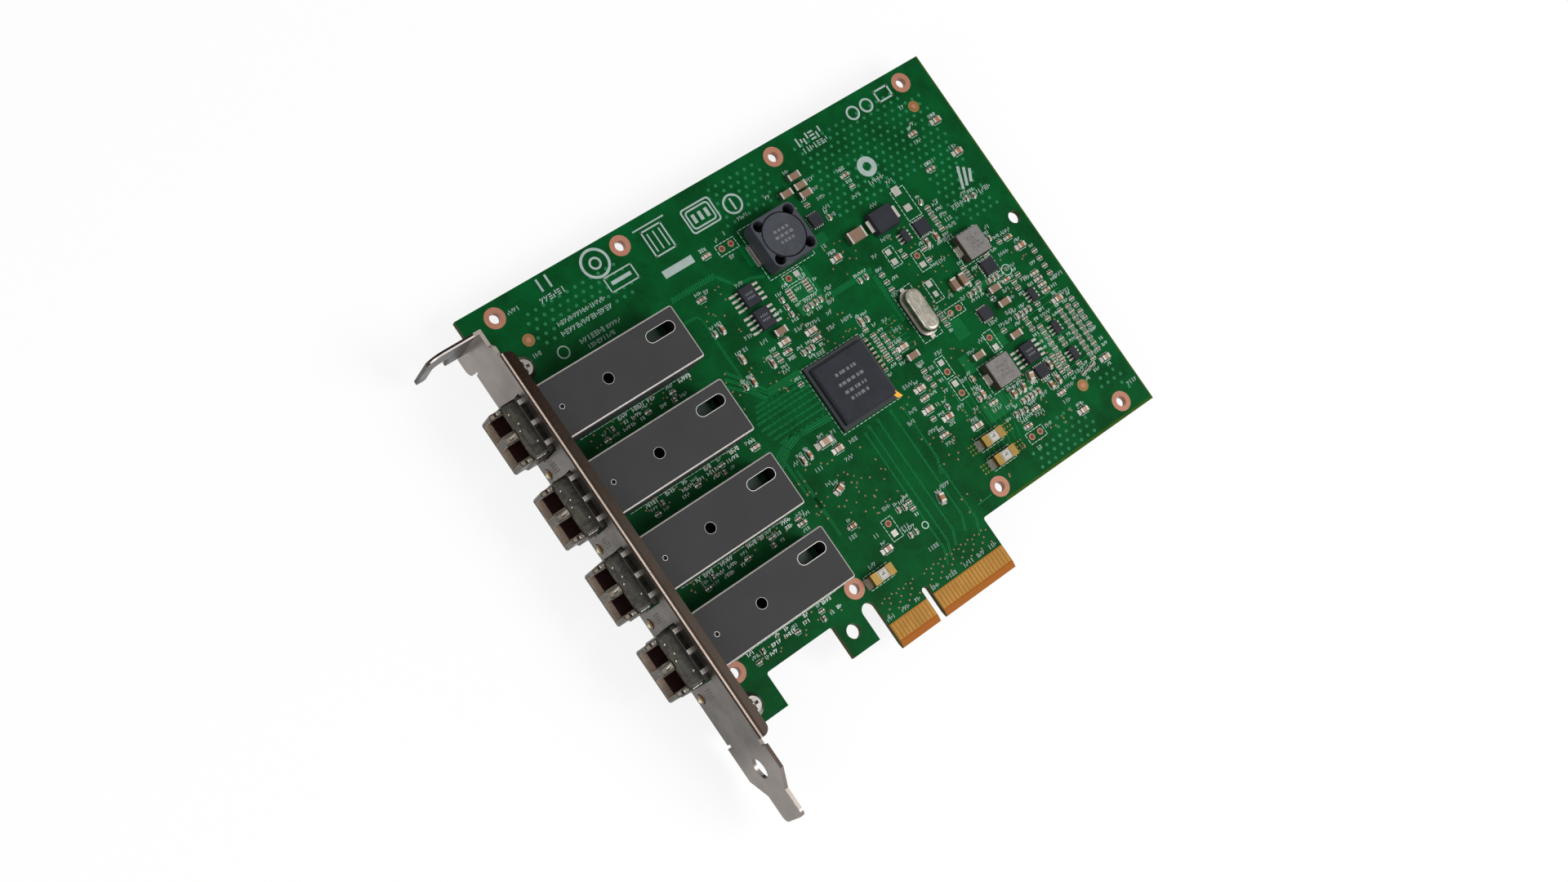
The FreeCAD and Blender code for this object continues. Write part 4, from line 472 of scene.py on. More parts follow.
class Piece:
    """Closed shapes in millimetres that share a material and become one object on the card."""

    def __init__(self, name, material, slot, smooth=False):
        self.name = name
        self.material = MATERIALS[material]
        self.slot = slot
        self.smooth = smooth
        self.mesh = bmesh.new()

    def skin(self, rings, closed=False):
        """Faces between each ring of (x, y, z) points and the next; gives the rings' vertices."""
        loops = [[self.mesh.verts.new(Vector(point) * MM) for point in ring] for ring in rings]
        for lower, upper in zip(loops, loops[1:] + (loops[:1] if closed else [])):
            for index in range(len(lower)):
                following = (index + 1) % len(lower)
                self.mesh.faces.new((lower[index], lower[following], upper[following],
                                     upper[index]))
        return loops

    def loft(self, rings):
        """A closed solid through rings of points, each a list of (x, y, z)."""
        loops = self.skin(rings)
        self.mesh.faces.new(list(reversed(loops[0])))
        self.mesh.faces.new(loops[-1])

    def slab(self, points, low, high):
        """An upright prism over a counter-clockwise outline."""
        self.loft([at(points, low), at(points, high)])

    def block(self, x, y, low, length, width, height, soften=0.0, turn=0.0):
        """A block centred on x and y, turned about z, with its top edges eased."""
        outline = turned(rectangle(length, width), turn, x, y)
        rings = [at(outline, low), at(outline, low + height - soften)]
        if soften:
            inner = turned(rectangle(length - 2 * soften, width - 2 * soften), turn, x, y)
            rings.append(at(inner, low + height))
        self.loft(rings)

    def fillet(self, foot, crest, rim, height):
        """Solder that rises from a foot on the board to a crest."""
        self.loft([at(foot, TOP), at(foot, TOP + rim), at(crest, TOP + height)])

    def turning(self, x, y, sides, profile):
        """A round solid through pairs of radius and z."""
        self.loft([at(moved(circle(radius, sides), x, y), z) for radius, z in profile])

    def disc(self, x, y, low, radius, height, sides):
        """A flat round dot."""
        self.slab(moved(circle(radius, sides), x, y), low, low + height)

    def band(self, outline, inner, low, high):
        """A closed band between two outlines with the same number of points."""
        self.skin([at(outline, low), at(outline, high), at(inner, high), at(inner, low)], True)

    def hoop(self, x, y, outer, inner, low, high, sides):
        """A round band."""
        self.band(moved(circle(outer, sides), x, y), moved(circle(inner, sides), x, y), low, high)

    def line(self, points, width, low, high):
        """A ribbon through points: one slab for each run, longer by 0.4 of its width at each end."""
        for (x0, y0), (x1, y1) in zip(points, points[1:]):
            length = math.hypot(x1 - x0, y1 - y0)
            if length < 1e-6:
                continue
            run_x = (x1 - x0) / length * width
            run_y = (y1 - y0) / length * width
            self.slab([(x + side * run_y / 2 + end * run_x * 0.4,
                        y - side * run_x / 2 + end * run_y * 0.4)
                       for x, y, side, end in ((x0, y0, 1, -1), (x1, y1, 1, 1), (x1, y1, -1, 1),
                                               (x0, y0, -1, -1))], low, high)

    def finish(self):
        """Make the object and let it ride on the card."""
        bmesh.ops.recalc_face_normals(self.mesh, faces=self.mesh.faces)
        data = bpy.data.meshes.new(self.name)
        self.mesh.to_mesh(data)
        self.mesh.free()
        data.materials.append(self.material)
        if self.smooth:
            for face in data.polygons:
                face.use_smooth = True
        item = bpy.data.objects.new(self.name, data)
        bpy.context.scene.collection.objects.link(item)
        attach(item, "root")


def finish(*pieces):
    """Make the objects of several pieces, in this order."""
    for piece in pieces:
        piece.finish()


def rectangle(length, width):
    """Corners of a centred rectangle, counter-clockwise."""
    a = length / 2
    b = width / 2
    return [(-a, -b), (a, -b), (a, b), (-a, b)]


def circle(radius, sides):
    """Points round a circle."""
    return [(radius * math.cos(math.tau * step / sides), radius * math.sin(math.tau * step / sides))
            for step in range(sides)]


def rounded(length, width, radius, steps=4):
    """A centred rectangle with round corners."""
    points = []
    for sign_x, sign_y, start in ((1, -1, 270), (1, 1, 0), (-1, 1, 90), (-1, -1, 180)):
        for step in range(steps + 1):
            angle = math.radians(start + 90 * step / steps)
            points.append((sign_x * (length / 2 - radius) + radius * math.cos(angle),
                           sign_y * (width / 2 - radius) + radius * math.sin(angle)))
    return points


def moved(points, x, y):
    """Points moved by x and y."""
    return [(x + px, y + py) for px, py in points]


def at(points, z):
    """A ring of points at one height."""
    return [(x, y, z) for x, y in points]


def upright(points, x, y, z):
    """A ring of (y, z) points round y and z, across the x axis."""
    return [(x, y + py, z + pz) for py, pz in points]


def turned(points, degrees, x, y):
    """Points turned about the origin and then moved."""
    cosine = math.cos(math.radians(degrees))
    sine = math.sin(math.radians(degrees))
    return [(x + px * cosine - py * sine, y + px * sine + py * cosine) for px, py in points]


# ---------------------------------------------------------------- copper under the mask

RELIEF = 0.02
# left, right, low and high of each field of copper dots
DOT_FIELDS = (
    (34.5, 73.0, 87.6, 106.6), (60.5, 73.0, 73.0, 87.5), (10.5, 26.5, 98.8, 109.4),
    (40.5, 61.0, 13.9, 19.0), (66.5, 74.5, 17.0, 25.6), (-43.0, -24.0, 96.5, 105.0),
    (-33.0, -16.5, 96.0, 105.5), (49.0, 57.5, 19.6, 23.4), (36.0, 50.0, 86.8, 89.0),
    (62.5, 75.0, 70.0, 72.4),
)
# x, y, length and width of each patch of copper plane
PLANES = (
    (44.9, 51.5, 3.6, 5.0), (43.0, 43.6, 6.0, 4.6), (41.3, 31.8, 7.0, 4.8), (53.5, 44.2, 7.6, 3.2),
    (48.8, 31.0, 7.4, 4.0), (26.5, 85.8, 7.0, 2.6), (10.3, 91.2, 1.6, 5.6), (62.5, 36.0, 3.0, 9.0),
    (17.2, 77.8, 7.6, 10.0), (57.5, 56.8, 7.0, 2.2),
)
# left, right, low and high of each area with vias, and how many it has
VIA_AREAS = (
    (-12.0, 9.0, 26.0, 45.0, 58), (-12.0, 2.0, 60.0, 72.0, 26), (-11.0, 1.0, 76.0, 90.0, 14),
    (9.0, 23.0, 63.5, 72.0, 22), (20.5, 34.0, 27.0, 50.0, 40), (35.0, 58.0, 20.0, 35.0, 40),
    (42.0, 58.0, 54.0, 80.0, 44), (58.0, 74.0, 32.0, 60.0, 54), (35.0, 44.0, 33.0, 50.0, 18),
    (22.5, 34.0, 53.0, 63.0, 30), (26.0, 35.0, 75.5, 84.0, 12), (-46.0, -18.0, 72.5, 75.8, 26),
    (-46.0, -18.0, 53.6, 56.8, 24), (-46.0, -18.0, 34.6, 37.8, 24), (-46.0, -18.0, 14.0, 18.0, 16),
    (20.0, 40.0, 14.5, 20.0, 7), (9.5, 22.0, 72.5, 76.0, 18),
)


def near_ring(x, y, reach):
    """Whether a place is within reach of a copper ring's middle."""
    return any(math.hypot(x - ring_x, y - ring_y) < reach for ring_x, ring_y in RINGS)


def along(start, end, share):
    """The place at a share of the way between two others."""
    return (start[0] + (end[0] - start[0]) * share, start[1] + (end[1] - start[1]) * share)


def serpentine(x, y, length, height, lean):
    """A slanted accordion run along x."""
    pitch = 0.95
    points = []
    for step in range(int(length / pitch)):
        left = x + step * pitch
        points += [(left, y - height / 2), (left + lean, y + height / 2),
                   (left + lean + pitch / 2, y + height / 2), (left + pitch / 2, y - height / 2)]
    return points


class Tracks(Piece):
    """Copper tracks under the mask of the component side."""

    def run(self, width, *points):
        """One track through points."""
        self.line(points, width, TOP, TOP + RELIEF)

    def pair(self, *points, gap=0.42, width=0.16):
        """Two tracks side by side, as a differential pair runs."""
        for side in (-gap / 2, gap / 2):
            shifted = []
            for index, (x, y) in enumerate(points):
                before = points[max(index - 1, 0)]
                after = points[min(index + 1, len(points) - 1)]
                run = math.dist(before, after) or 1
                shifted.append((x - (after[1] - before[1]) / run * side,
                                y + (after[0] - before[0]) / run * side))
            self.run(width, *shifted)

    def bumps(self, start, end, dash, gap, width):
        """A row of short tuned bumps along a straight run."""
        angle = math.degrees(math.atan2(end[1] - start[1], end[0] - start[0]))
        steps = int(math.dist(start, end) / (dash + gap))
        for step in range(steps):
            self.block(*along(start, end, (step + 0.5) / steps), TOP, dash, width, RELIEF,
                       turn=angle)


def make_traces():
    """Signal pairs, tuned runs and fan-out under the green mask."""
    tracks = Tracks("signal_traces", "trace", "board_laminate")
    # transceivers to controller
    for order, y in enumerate((61.5, 60.4, 59.2, 58.0, 56.4, 54.9, 53.4, 52.0)):
        start = -11.6 + 0.7 * abs(order - 3.5)
        tracks.pair((start, y), (4.7, y), gap=0.34, width=0.13)
        tracks.bumps((start + 2.2, y), (4.2, y), 0.8, 0.6, 0.42)
    for order in range(3):
        tracks.pair((-12.5 + order, 69.0 + order * 1.3), (-8.2 + order * 0.6, 65.0 + order),
                    (-5.4 + order * 0.5, 61.5 + order * 0.9), (4.6, 61.6 + order * 0.8))
        tracks.pair((-12.4, 49.4 - order * 1.2), (-9.0 + order * 0.4, 51.0 - order * 0.6),
                    (-5.5 + order * 0.7, 52.0 - order * 0.5), (4.8, 52.0 - order * 0.8))
    # edge contacts to controller
    for x, low, high in ((9.6, 12.5, 43.6), (11.4, 13.5, 44.6), (14.1, 15.0, 44.8),
                         (18.1, 16.5, 44.8), (21.2, 30.0, 44.0), (20.6, 14.0, 29.0)):
        tracks.pair((x, high), (x, low), (x - 1.5, low - 3.4), gap=0.4, width=0.14)
        tracks.bumps((x, low + 1), (x, high - 1), 0.9, 0.5, 0.5)
    for x, y in ((-10.8, 44.0), (-9.6, 40.0), (-9.6, 33.0)):
        tracks.pair((x, y + 5), (x, y - 5))
    # tuned bands
    tracks.run(0.17, *serpentine(-11.5, 91.1, 13.0, 1.3, 0.5))
    tracks.run(0.17, *serpentine(22.4, 73.7, 12.5, 1.4, 0.5))
    tracks.run(0.16, *[(y, x) for x, y in serpentine(60.0, 34.3, 12.5, 1.2, 0.4)])
    # single pairs, and one along each transceiver
    tracks.pair((1.0, 90.6), (3.2, 87.6), (4.0, 86.6), (8.0, 86.4), (11.0, 85.2))
    tracks.pair((-12.0, 85.4), (-8.6, 85.3), (-7.9, 84.0), (-7.9, 76.0), (-7.9, 66.0),
                (-5.0, 61.9), gap=0.36, width=0.12)
    for row in range(4):
        tracks.pair((-46.0, 76.7 - row * 19.05), (-20.0, 76.6 - row * 19.05), gap=0.3, width=0.12)
    # fans in the power corner, at the far edge and beside the controller
    for order in range(9):
        x = 34.0 + order * 1.6
        tracks.run(0.14, (x, 44.5 - order), (x, 27.0 + order * 0.4), (x - 1.4, 23.5))
    for order in range(14):
        y = 28.0 + order * 1.55
        tracks.run(0.14, (60.5, y), (64.2, y + 0.3), (73.5, y + 0.3))
    for order in range(8):
        y = 52.5 + order * 1.2
        tracks.run(0.13, (22.2, y), (26.8, y), (28.4, y + 1.3), (33.0, y + 1.3))
    tracks.run(0.2, (23.0, 16.1), (27.4, 16.3))
    tracks.finish()


def make_thieving():
    """Staggered copper dots that fill the open parts of the board, and patches of plane."""
    dots = Piece("copper_dots", "dot", "board_laminate")
    pitch = 2.12
    row_step = pitch * math.sqrt(3) / 2
    seen = set()
    for left, right, low, high in DOT_FIELDS:
        for row in range(math.ceil(low / row_step), int(high / row_step) + 1):
            for column in range(math.ceil(left / pitch), int(right / pitch) + 1):
                x = column * pitch + (row % 2) * pitch / 2
                y = row * row_step
                if (column, row) in seen or x > right or near_ring(x, y, 4.0):
                    continue
                seen.add((column, row))
                dots.disc(x, y, TOP, 0.46, RELIEF, 6)
    planes = Piece("copper_planes", "plane", "board_laminate")
    for x, y, length, width in PLANES:
        planes.block(x, y, TOP, length, width, RELIEF * 0.6)
    finish(dots, planes)


def make_vias():
    """Small plated holes, in rows by the contacts and scattered among the parts."""
    vias = Piece("vias", "via", "ring_copper")

    def via(x, y, radius):
        vias.disc(x, y, TOP, radius, RELIEF * 1.6, 8)

    for index in range(31):
        x = -11.0 + index * 1.05
        if abs(x) > 1.3:
            via(x, 7.7 + 0.9 * (index % 3), 0.22)
            via(x + 0.4, 10.6 + 0.5 * (index % 2), 0.2)
    for left, right, low, high, count in VIA_AREAS:
        for _ in range(count):
            via(chance.uniform(left, right), chance.uniform(low, high), chance.choice((0.2, 0.24)))
    vias.finish()


def make_fiducials():
    """Round copper targets in rings of bare laminate."""
    base = Piece("fiducial_rings", "fiducial", "ring_copper")
    heart = Piece("fiducial_dots", "ring", "ring_copper")
    for x, y in ((-44.5, 99.8), (69.2, 101.1), (63.8, 24.8)):
        base.disc(x, y, TOP, 1.45, RELIEF, 24)
        heart.disc(x, y, TOP + RELIEF, 0.6, RELIEF, 16)
    finish(base, heart)


# ---------------------------------------------------------------- print

INK = 0.012
PRINT_LOW = TOP + INK
PRINT_HIGH = TOP + 2.5 * INK
# Figures that spell nothing, as strokes in shares of their half width and half height.
FIGURES = (
    (((0, -1), (0, 1)),),
    (((-1, -0.9), (-1, 0.9)), ((1, -0.3), (1, 0.3))),
    (((-1, -0.8), (1, -0.8)), ((-1, 0), (1, 0)), ((-1, 0.8), (1, 0.8))),
    (((-1, -0.8), (1, 0.8)), ((-1, 0.4), (-1, 0.9))),
    (((-1, -1), (-1, 0.1)), ((1, -0.1), (1, 1))),
)
# x, y, count and size of the rows of larger figures
LARGE_LABELS = (
    (-34.2, 108.8, 2, 2.7), (-34.0, 105.6, 6, 1.3), (-30.6, 99.4, 15, 1.0), (-30.6, 97.2, 14, 1.15),
    (-31.6, 93.7, 7, 1.1), (-26.0, 93.6, 5, 0.9), (-30.4, 91.9, 9, 0.95), (41.0, 107.4, 4, 2.2),
    (41.2, 105.0, 7, 1.25), (49.3, 90.9, 5, 1.1), (68.0, 76.0, 13, 1.1),
)
# x, y and count of the short labels beside parts
LABELS = (
    (1.6, 97.4, 2), (6.1, 97.7, 1), (8.7, 98.2, 1), (7.1, 92.8, 2), (30.6, 103.0, 2), (23.0, 100.2, 2),
    (34.6, 98.8, 3), (34.4, 96.4, 3), (34.6, 94.0, 3), (34.2, 91.4, 3), (34.6, 89.2, 2), (4.6, 86.6, 3),
    (-3.2, 89.0, 2), (-7.2, 79.4, 2), (-0.8, 75.6, 3), (-3.2, 73.6, 2), (1.6, 72.8, 3), (10.6, 71.2, 3),
    (15.0, 70.6, 4), (19.4, 70.6, 2), (5.3, 66.5, 3), (-7.8, 67.0, 2), (2.2, 64.8, 3), (22.2, 67.4, 4),
    (17.6, 67.6, 3), (11.4, 64.0, 4), (28.6, 81.9, 3), (22.6, 75.5, 3), (21.4, 72.6, 3),
    (27.8, 84.0, 2), (43.0, 97.2, 3), (42.6, 90.2, 3), (64.5, 93.6, 3), (71.8, 97.0, 3),
    (63.8, 87.9, 4), (71.6, 88.3, 3), (52.0, 89.0, 3), (44.8, 86.2, 3), (37.3, 76.0, 2),
    (42.6, 78.2, 4), (59.2, 79.4, 2), (59.3, 77.6, 2), (59.0, 75.8, 3), (59.4, 74.4, 3),
    (59.0, 72.8, 4), (56.4, 70.7, 4), (51.2, 67.0, 4), (70.2, 64.8, 4), (66.8, 68.0, 2),
    (66.2, 102.4, 2), (65.8, 97.8, 2), (75.6, 19.2, 4), (60.2, 21.6, 3), (50.0, 25.2, 4),
    (60.6, 26.6, 4), (45.2, 26.7, 4), (57.8, 24.0, 3), (50.0, 22.0, 3), (44.6, 18.8, 2),
    (53.8, 28.4, 3), (50.0, 28.6, 4), (65.4, 28.2, 4), (72.2, 29.6, 4), (41.2, 31.6, 4),
    (44.2, 30.4, 3), (47.6, 33.6, 3), (36.6, 34.2, 2), (34.4, 32.4, 3), (33.6, 36.6, 3),
    (39.6, 38.4, 3), (38.2, 41.2, 3), (32.8, 41.4, 2), (36.8, 49.6, 3), (33.0, 47.6, 2),
    (25.4, 47.2, 4), (20.8, 39.8, 3), (22.8, 41.8, 3), (24.2, 35.6, 4), (26.0, 31.2, 3),
    (29.6, 34.6, 2), (30.6, 46.6, 2), (31.2, 49.8, 3), (44.0, 45.6, 3), (53.4, 48.6, 4),
    (56.8, 46.8, 4), (58.6, 48.6, 3), (48.2, 46.6, 3), (61.2, 51.0, 3), (61.4, 53.2, 3),
    (67.2, 53.2, 3), (72.8, 45.6, 3), (75.6, 49.6, 4), (74.8, 45.4, 3), (66.6, 43.6, 4),
    (63.0, 37.0, 2), (65.8, 57.2, 4), (66.6, 60.8, 4), (55.4, 57.4, 3), (50.4, 57.0, 2),
    (48.0, 59.0, 2), (30.0, 62.4, 2), (31.4, 59.2, 3), (29.4, 57.0, 4), (75.0, 34.6, 3),
    (74.6, 38.4, 2), (-7.4, 26.1, 3), (-8.8, 46.4, 2), (-4.9, 42.6, 3), (-5.0, 38.8, 2), (2.8, 41.0, 3),
    (6.2, 43.8, 3), (3.2, 47.8, 2), (-15.2, 56.0, 3), (-14.8, 36.8, 3), (3.4, 27.3, 3), (4.6, 21.4, 3),
    (-2.6, 23.4, 2), (18.6, 24.1, 4), (-7.6, 18.6, 3), (7.6, 14.2, 4), (-10.8, 7.0, 3), (-6.6, 6.9, 3),
    (-3.0, 6.9, 2), (2.4, 6.9, 3), (7.4, 6.9, 4), (12.6, 6.9, 4), (16.4, 6.9, 3), (20.0, 6.9, 3),
    (-12.4, 61.0, 1), (-44.8, 96.2, 3), (-43.6, 107.0, 4),
)
# x, y, length and width of part outlines with short dashes, and then with wide gaps
CLOSE_DASHED = (
    (7.45, 95.25, 5.3, 2.7), (17.1, 81.8, 5.2, 2.6), (41.2, 73.7, 2.8, 4.9), (46.9, 69.5, 2.8, 5.0),
    (45.1, 62.0, 2.8, 5.4), (46.8, 55.6, 5.1, 2.6), (50.4, 45.0, 2.7, 5.2), (35.9, 46.0, 2.7, 5.2),
    (35.9, 40.2, 2.7, 5.2), (45.9, 21.6, 5.1, 2.7), (1.65, 22.7, 2.9, 5.3), (17.2, 78.0, 5.6, 3.6),
    (52.3, 82.6, 4.0, 8.0),
)
WIDE_DASHED = (
    (18.35, 90.3, 13.2, 13.4), (38.1, 59.7, 5.6, 13.6), (13.6, 54.45, 17.3, 17.3),
    (46.9, 38.1, 8.4, 7.3), (59.9, 66.4, 8.4, 7.3), (52.1, 75.9, 4.4, 4.4), (61.0, 59.9, 4.6, 4.6),
    (34.9, 26.8, 6.8, 3.4), (34.9, 21.75, 6.8, 3.4), (-7.6, 15.75, 6.8, 3.4),
)


class Print(Piece):
    """White legend: outlines, bars and short strokes that spell nothing."""

    def stroke(self, width, *points):
        """A drawn line through points."""
        self.line(points, width, PRINT_LOW, PRINT_HIGH)

    def bar(self, x, y, length, width):
        """A filled rectangle."""
        self.block(x, y, PRINT_LOW, length, width, 1.5 * INK)

    def frame(self, x, y, length, width, stroke, gap=0.0):
        """A rectangle outline, dashed if gap is given."""
        dash = 0.75
        drawn = dash / (dash + gap) if gap else 1
        corners = moved(rectangle(length, width), x, y)
        for start, end in zip(corners, corners[1:] + corners[:1]):
            count = max(1, round(math.dist(start, end) / (dash + gap))) if gap else 1
            for step in range(count):
                self.stroke(stroke, along(start, end, step / count),
                            along(start, end, (step + drawn) / count))

    def ring(self, x, y, outer, inner, sides=32):
        """A drawn circle."""
        self.hoop(x, y, outer, inner, PRINT_LOW, PRINT_HIGH, sides)

    def ticks(self, x, y, count, size=0.9):
        """A short row of figures where a part's label would be."""
        for index in range(count):
            middle = x + (index - (count - 1) / 2) * size * 0.86
            for stroke in chance.choice(FIGURES):
                self.stroke(size * 0.19, *[(middle + across * (size * 0.24), y + up * (size / 2))
                                           for across, up in stroke])


def make_print():
    """The white legend of the board, with generic shapes in place of any mark or wording."""
    ink = Print("white_legend", "print", "board_laminate")
    lines = Print("part_outlines", "thin_print", "board_laminate")
    ink.bar(-5.3, 96.9, 8.3, 1.9)
    # generic figures along the top edge
    ink.ring(-21.5, 106.9, 3.6, 2.95)
    ink.ring(-21.5, 106.9, 1.5, 1.0)
    ink.frame(-18.3, 101.2, 7.4, 3.6, 0.32)
    ink.stroke(0.9, (-20.6, 101.2), (-16.0, 101.2))
    for row in LARGE_LABELS:
        ink.ticks(*row)
    ink.ring(-39.4, 93.7, 1.5, 1.2)
    ink.frame(-5.6, 104.4, 5.4, 6.4, 0.38)
    for step in range(3):
        ink.stroke(0.34, (-7.2 + step * 1.6, 102.2), (-7.2 + step * 1.6, 106.6))
    ink.stroke(0.34, (-9.8, 108.6), (-1.4, 108.6))
    for length, width in ((8.3, 6.4), (6.7, 4.8)):
        ink.band(moved(rounded(length, width, 0.9), 6.5, 104.3),
                 moved(rounded(length - 0.8, width - 0.8, 0.6), 6.5, 104.3), PRINT_LOW, PRINT_HIGH)
    for step in range(3):
        ink.bar(4.7 + step * 1.8, 104.3, 0.9, 2.2)
    ink.ring(14.8, 102.9, 2.5, 2.0)
    ink.stroke(0.5, (14.8, 101.6), (14.8, 104.2))
    ink.ticks(15.0, 99.3, 4)
    for x in (54.4, 58.6):
        ink.ring(x, 107.0, 1.8, 1.3)
    ink.frame(64.2, 107.4, 4.0, 2.8, 0.45)
    ink.ring(49.3, 94.6, 2.5, 1.1)
    for step in range(3):
        ink.stroke(0.75, (67.6 + step * 1.5, 78.6 + step * 0.3),
                   (69.6 + step * 1.2, 83.4 - step * 0.9))
    for outlines, stroke, gap in ((CLOSE_DASHED, 0.14, 0.35), (WIDE_DASHED, 0.13, 0.45)):
        for outline in outlines:
            lines.frame(*outline, stroke, gap)
    lines.ring(64.6, 57.0, 1.4, 1.22, 20)
    lines.ring(9.0, 19.2, 0.9, 0.68, 16)
    for label in LABELS:
        ink.ticks(*label)
    # a dashed line below each transceiver
    for centre in CENTRES:
        x = -47.5
        while x < -18.0:
            lines.stroke(0.13, (x, centre - 6.95), (x + 0.8, centre - 6.95))
            x += 1.1
    finish(lines, ink)


# ---------------------------------------------------------------- small parts

SIZES = {"0402": (1.0, 0.5, 0.45), "0603": (1.6, 0.8, 0.75), "0805": (2.0, 1.25, 1.0),
         "1206": (3.2, 1.6, 1.1)}
TONES = ("brown", "tan", "orange", "black")
# x, y, size and tone of single chip parts, and their turn where they have one
CHIPS = (
    (1.9, 95.7, "0603 tan"), (30.4, 94.0, "0402 orange"), (26.8, 93.2, "0402 brown", 90),
    (33.4, 89.0, "0402 tan", 90), (-5.2, 87.9, "0603 brown"), (-7.2, 80.0, "0402 tan", 90),
    (-5.2, 80.0, "0603 orange", 90), (-5.2, 72.1, "0603 tan", 90), (-6.1, 66.5, "0603 orange", 90),
    (-8.2, 66.4, "0402 tan", 90), (5.9, 70.3, "0805 tan"), (5.2, 68.1, "0603 brown"),
    (2.4, 68.8, "0402 tan"), (2.5, 67.3, "0402 tan"), (0.4, 67.7, "0603 brown", 90),
    (13.0, 69.2, "0805 tan"), (13.1, 67.1, "0603 brown"), (28.9, 80.1, "0805 orange"),
    (43.1, 95.4, "0603 brown"), (43.1, 92.4, "0402 tan"), (64.6, 95.6, "0603 orange"),
    (72.0, 95.6, "0805 orange"), (63.2, 86.3, "0603 brown"), (72.0, 86.6, "0805 orange"),
    (51.0, 72.4, "0603 brown", 90), (53.9, 72.3, "0603 orange", 90), (49.4, 71.4, "0402 tan"),
    (44.0, 72.4, "0402 tan"), (55.8, 81.0, "0402 tan", 60), (48.8, 68.6, "0402 tan"),
    (24.7, 65.0, "0603 tan", 90), (26.5, 64.8, "0402 tan", 90), (24.6, 62.9, "0402 tan"),
    (30.0, 55.0, "0805 tan"), (27.5, 45.0, "0805 tan"), (27.2, 42.6, "0603 tan"),
    (26.2, 40.0, "0805 tan"), (29.4, 36.2, "0805 orange"), (26.0, 33.3, "0603 tan"),
    (34.4, 30.8, "0805 tan"), (26.0, 37.7, "0402 tan"), (30.8, 38.2, "0402 brown", 90),
    (-14.6, 54.2, "0603 tan"), (-15.6, 34.8, "0603 brown"), (-15.9, 36.1, "0402 tan"),
    (-4.9, 46.4, "0603 orange", 90), (-6.9, 46.0, "0603 tan", 90), (1.8, 43.9, "0805 tan"),
    (-3.6, 36.5, "0805 orange", 20), (-6.1, 28.1, "0603 orange"), (-2.2, 19.6, "0805 tan"),
    (16.2, 22.1, "0805 orange", 80), (0.0, 46.8, "1206 tan"), (5.6, 25.3, "0402 tan", 90),
    (7.3, 25.0, "0402 tan", 90), (8.8, 25.4, "0402 tan"), (8.8, 23.8, "0402 tan"),
    (4.6, 19.2, "0402 tan", 90), (6.2, 19.2, "0402 tan", 90), (3.3, 60.4, "0402 brown"),
    (54.6, 45.5, "0402 brown"), (40.2, 40.4, "0402 orange", 90), (38.8, 35.6, "0402 tan", 90),
    (40.2, 36.2, "0603 tan", 90), (41.4, 33.1, "0603 tan"), (47.0, 32.2, "0603 orange", 90),
    (48.6, 32.0, "0402 tan", 90), (50.2, 32.2, "0603 orange", 75), (53.4, 33.3, "0805 tan", 75),
    (59.4, 33.2, "0603 brown", 90), (56.8, 29.0, "0603 orange", 90), (59.2, 29.2, "0603 brown", 90),
    (45.4, 24.2, "0603 orange"), (49.8, 26.6, "0603 tan"), (57.9, 26.2, "0603 tan"),
    (60.0, 20.0, "0805 tan"), (73.2, 27.2, "0805 tan"), (71.6, 60.0, "0805 orange"),
    (70.0, 63.2, "0603 orange"), (62.9, 55.1, "0603 orange"), (57.1, 53.0, "0402 black"),
    (71.6, 44.8, "0805 orange"), (70.4, 48.0, "0603 orange"), (56.2, 58.0, "0402 brown"),
    (65.6, 65.4, "0402 tan", 90), (54.0, 59.0, "0402 tan", 90), (62.4, 62.6, "0402 tan"),
    (67.4, 63.4, "0402 tan"),
)
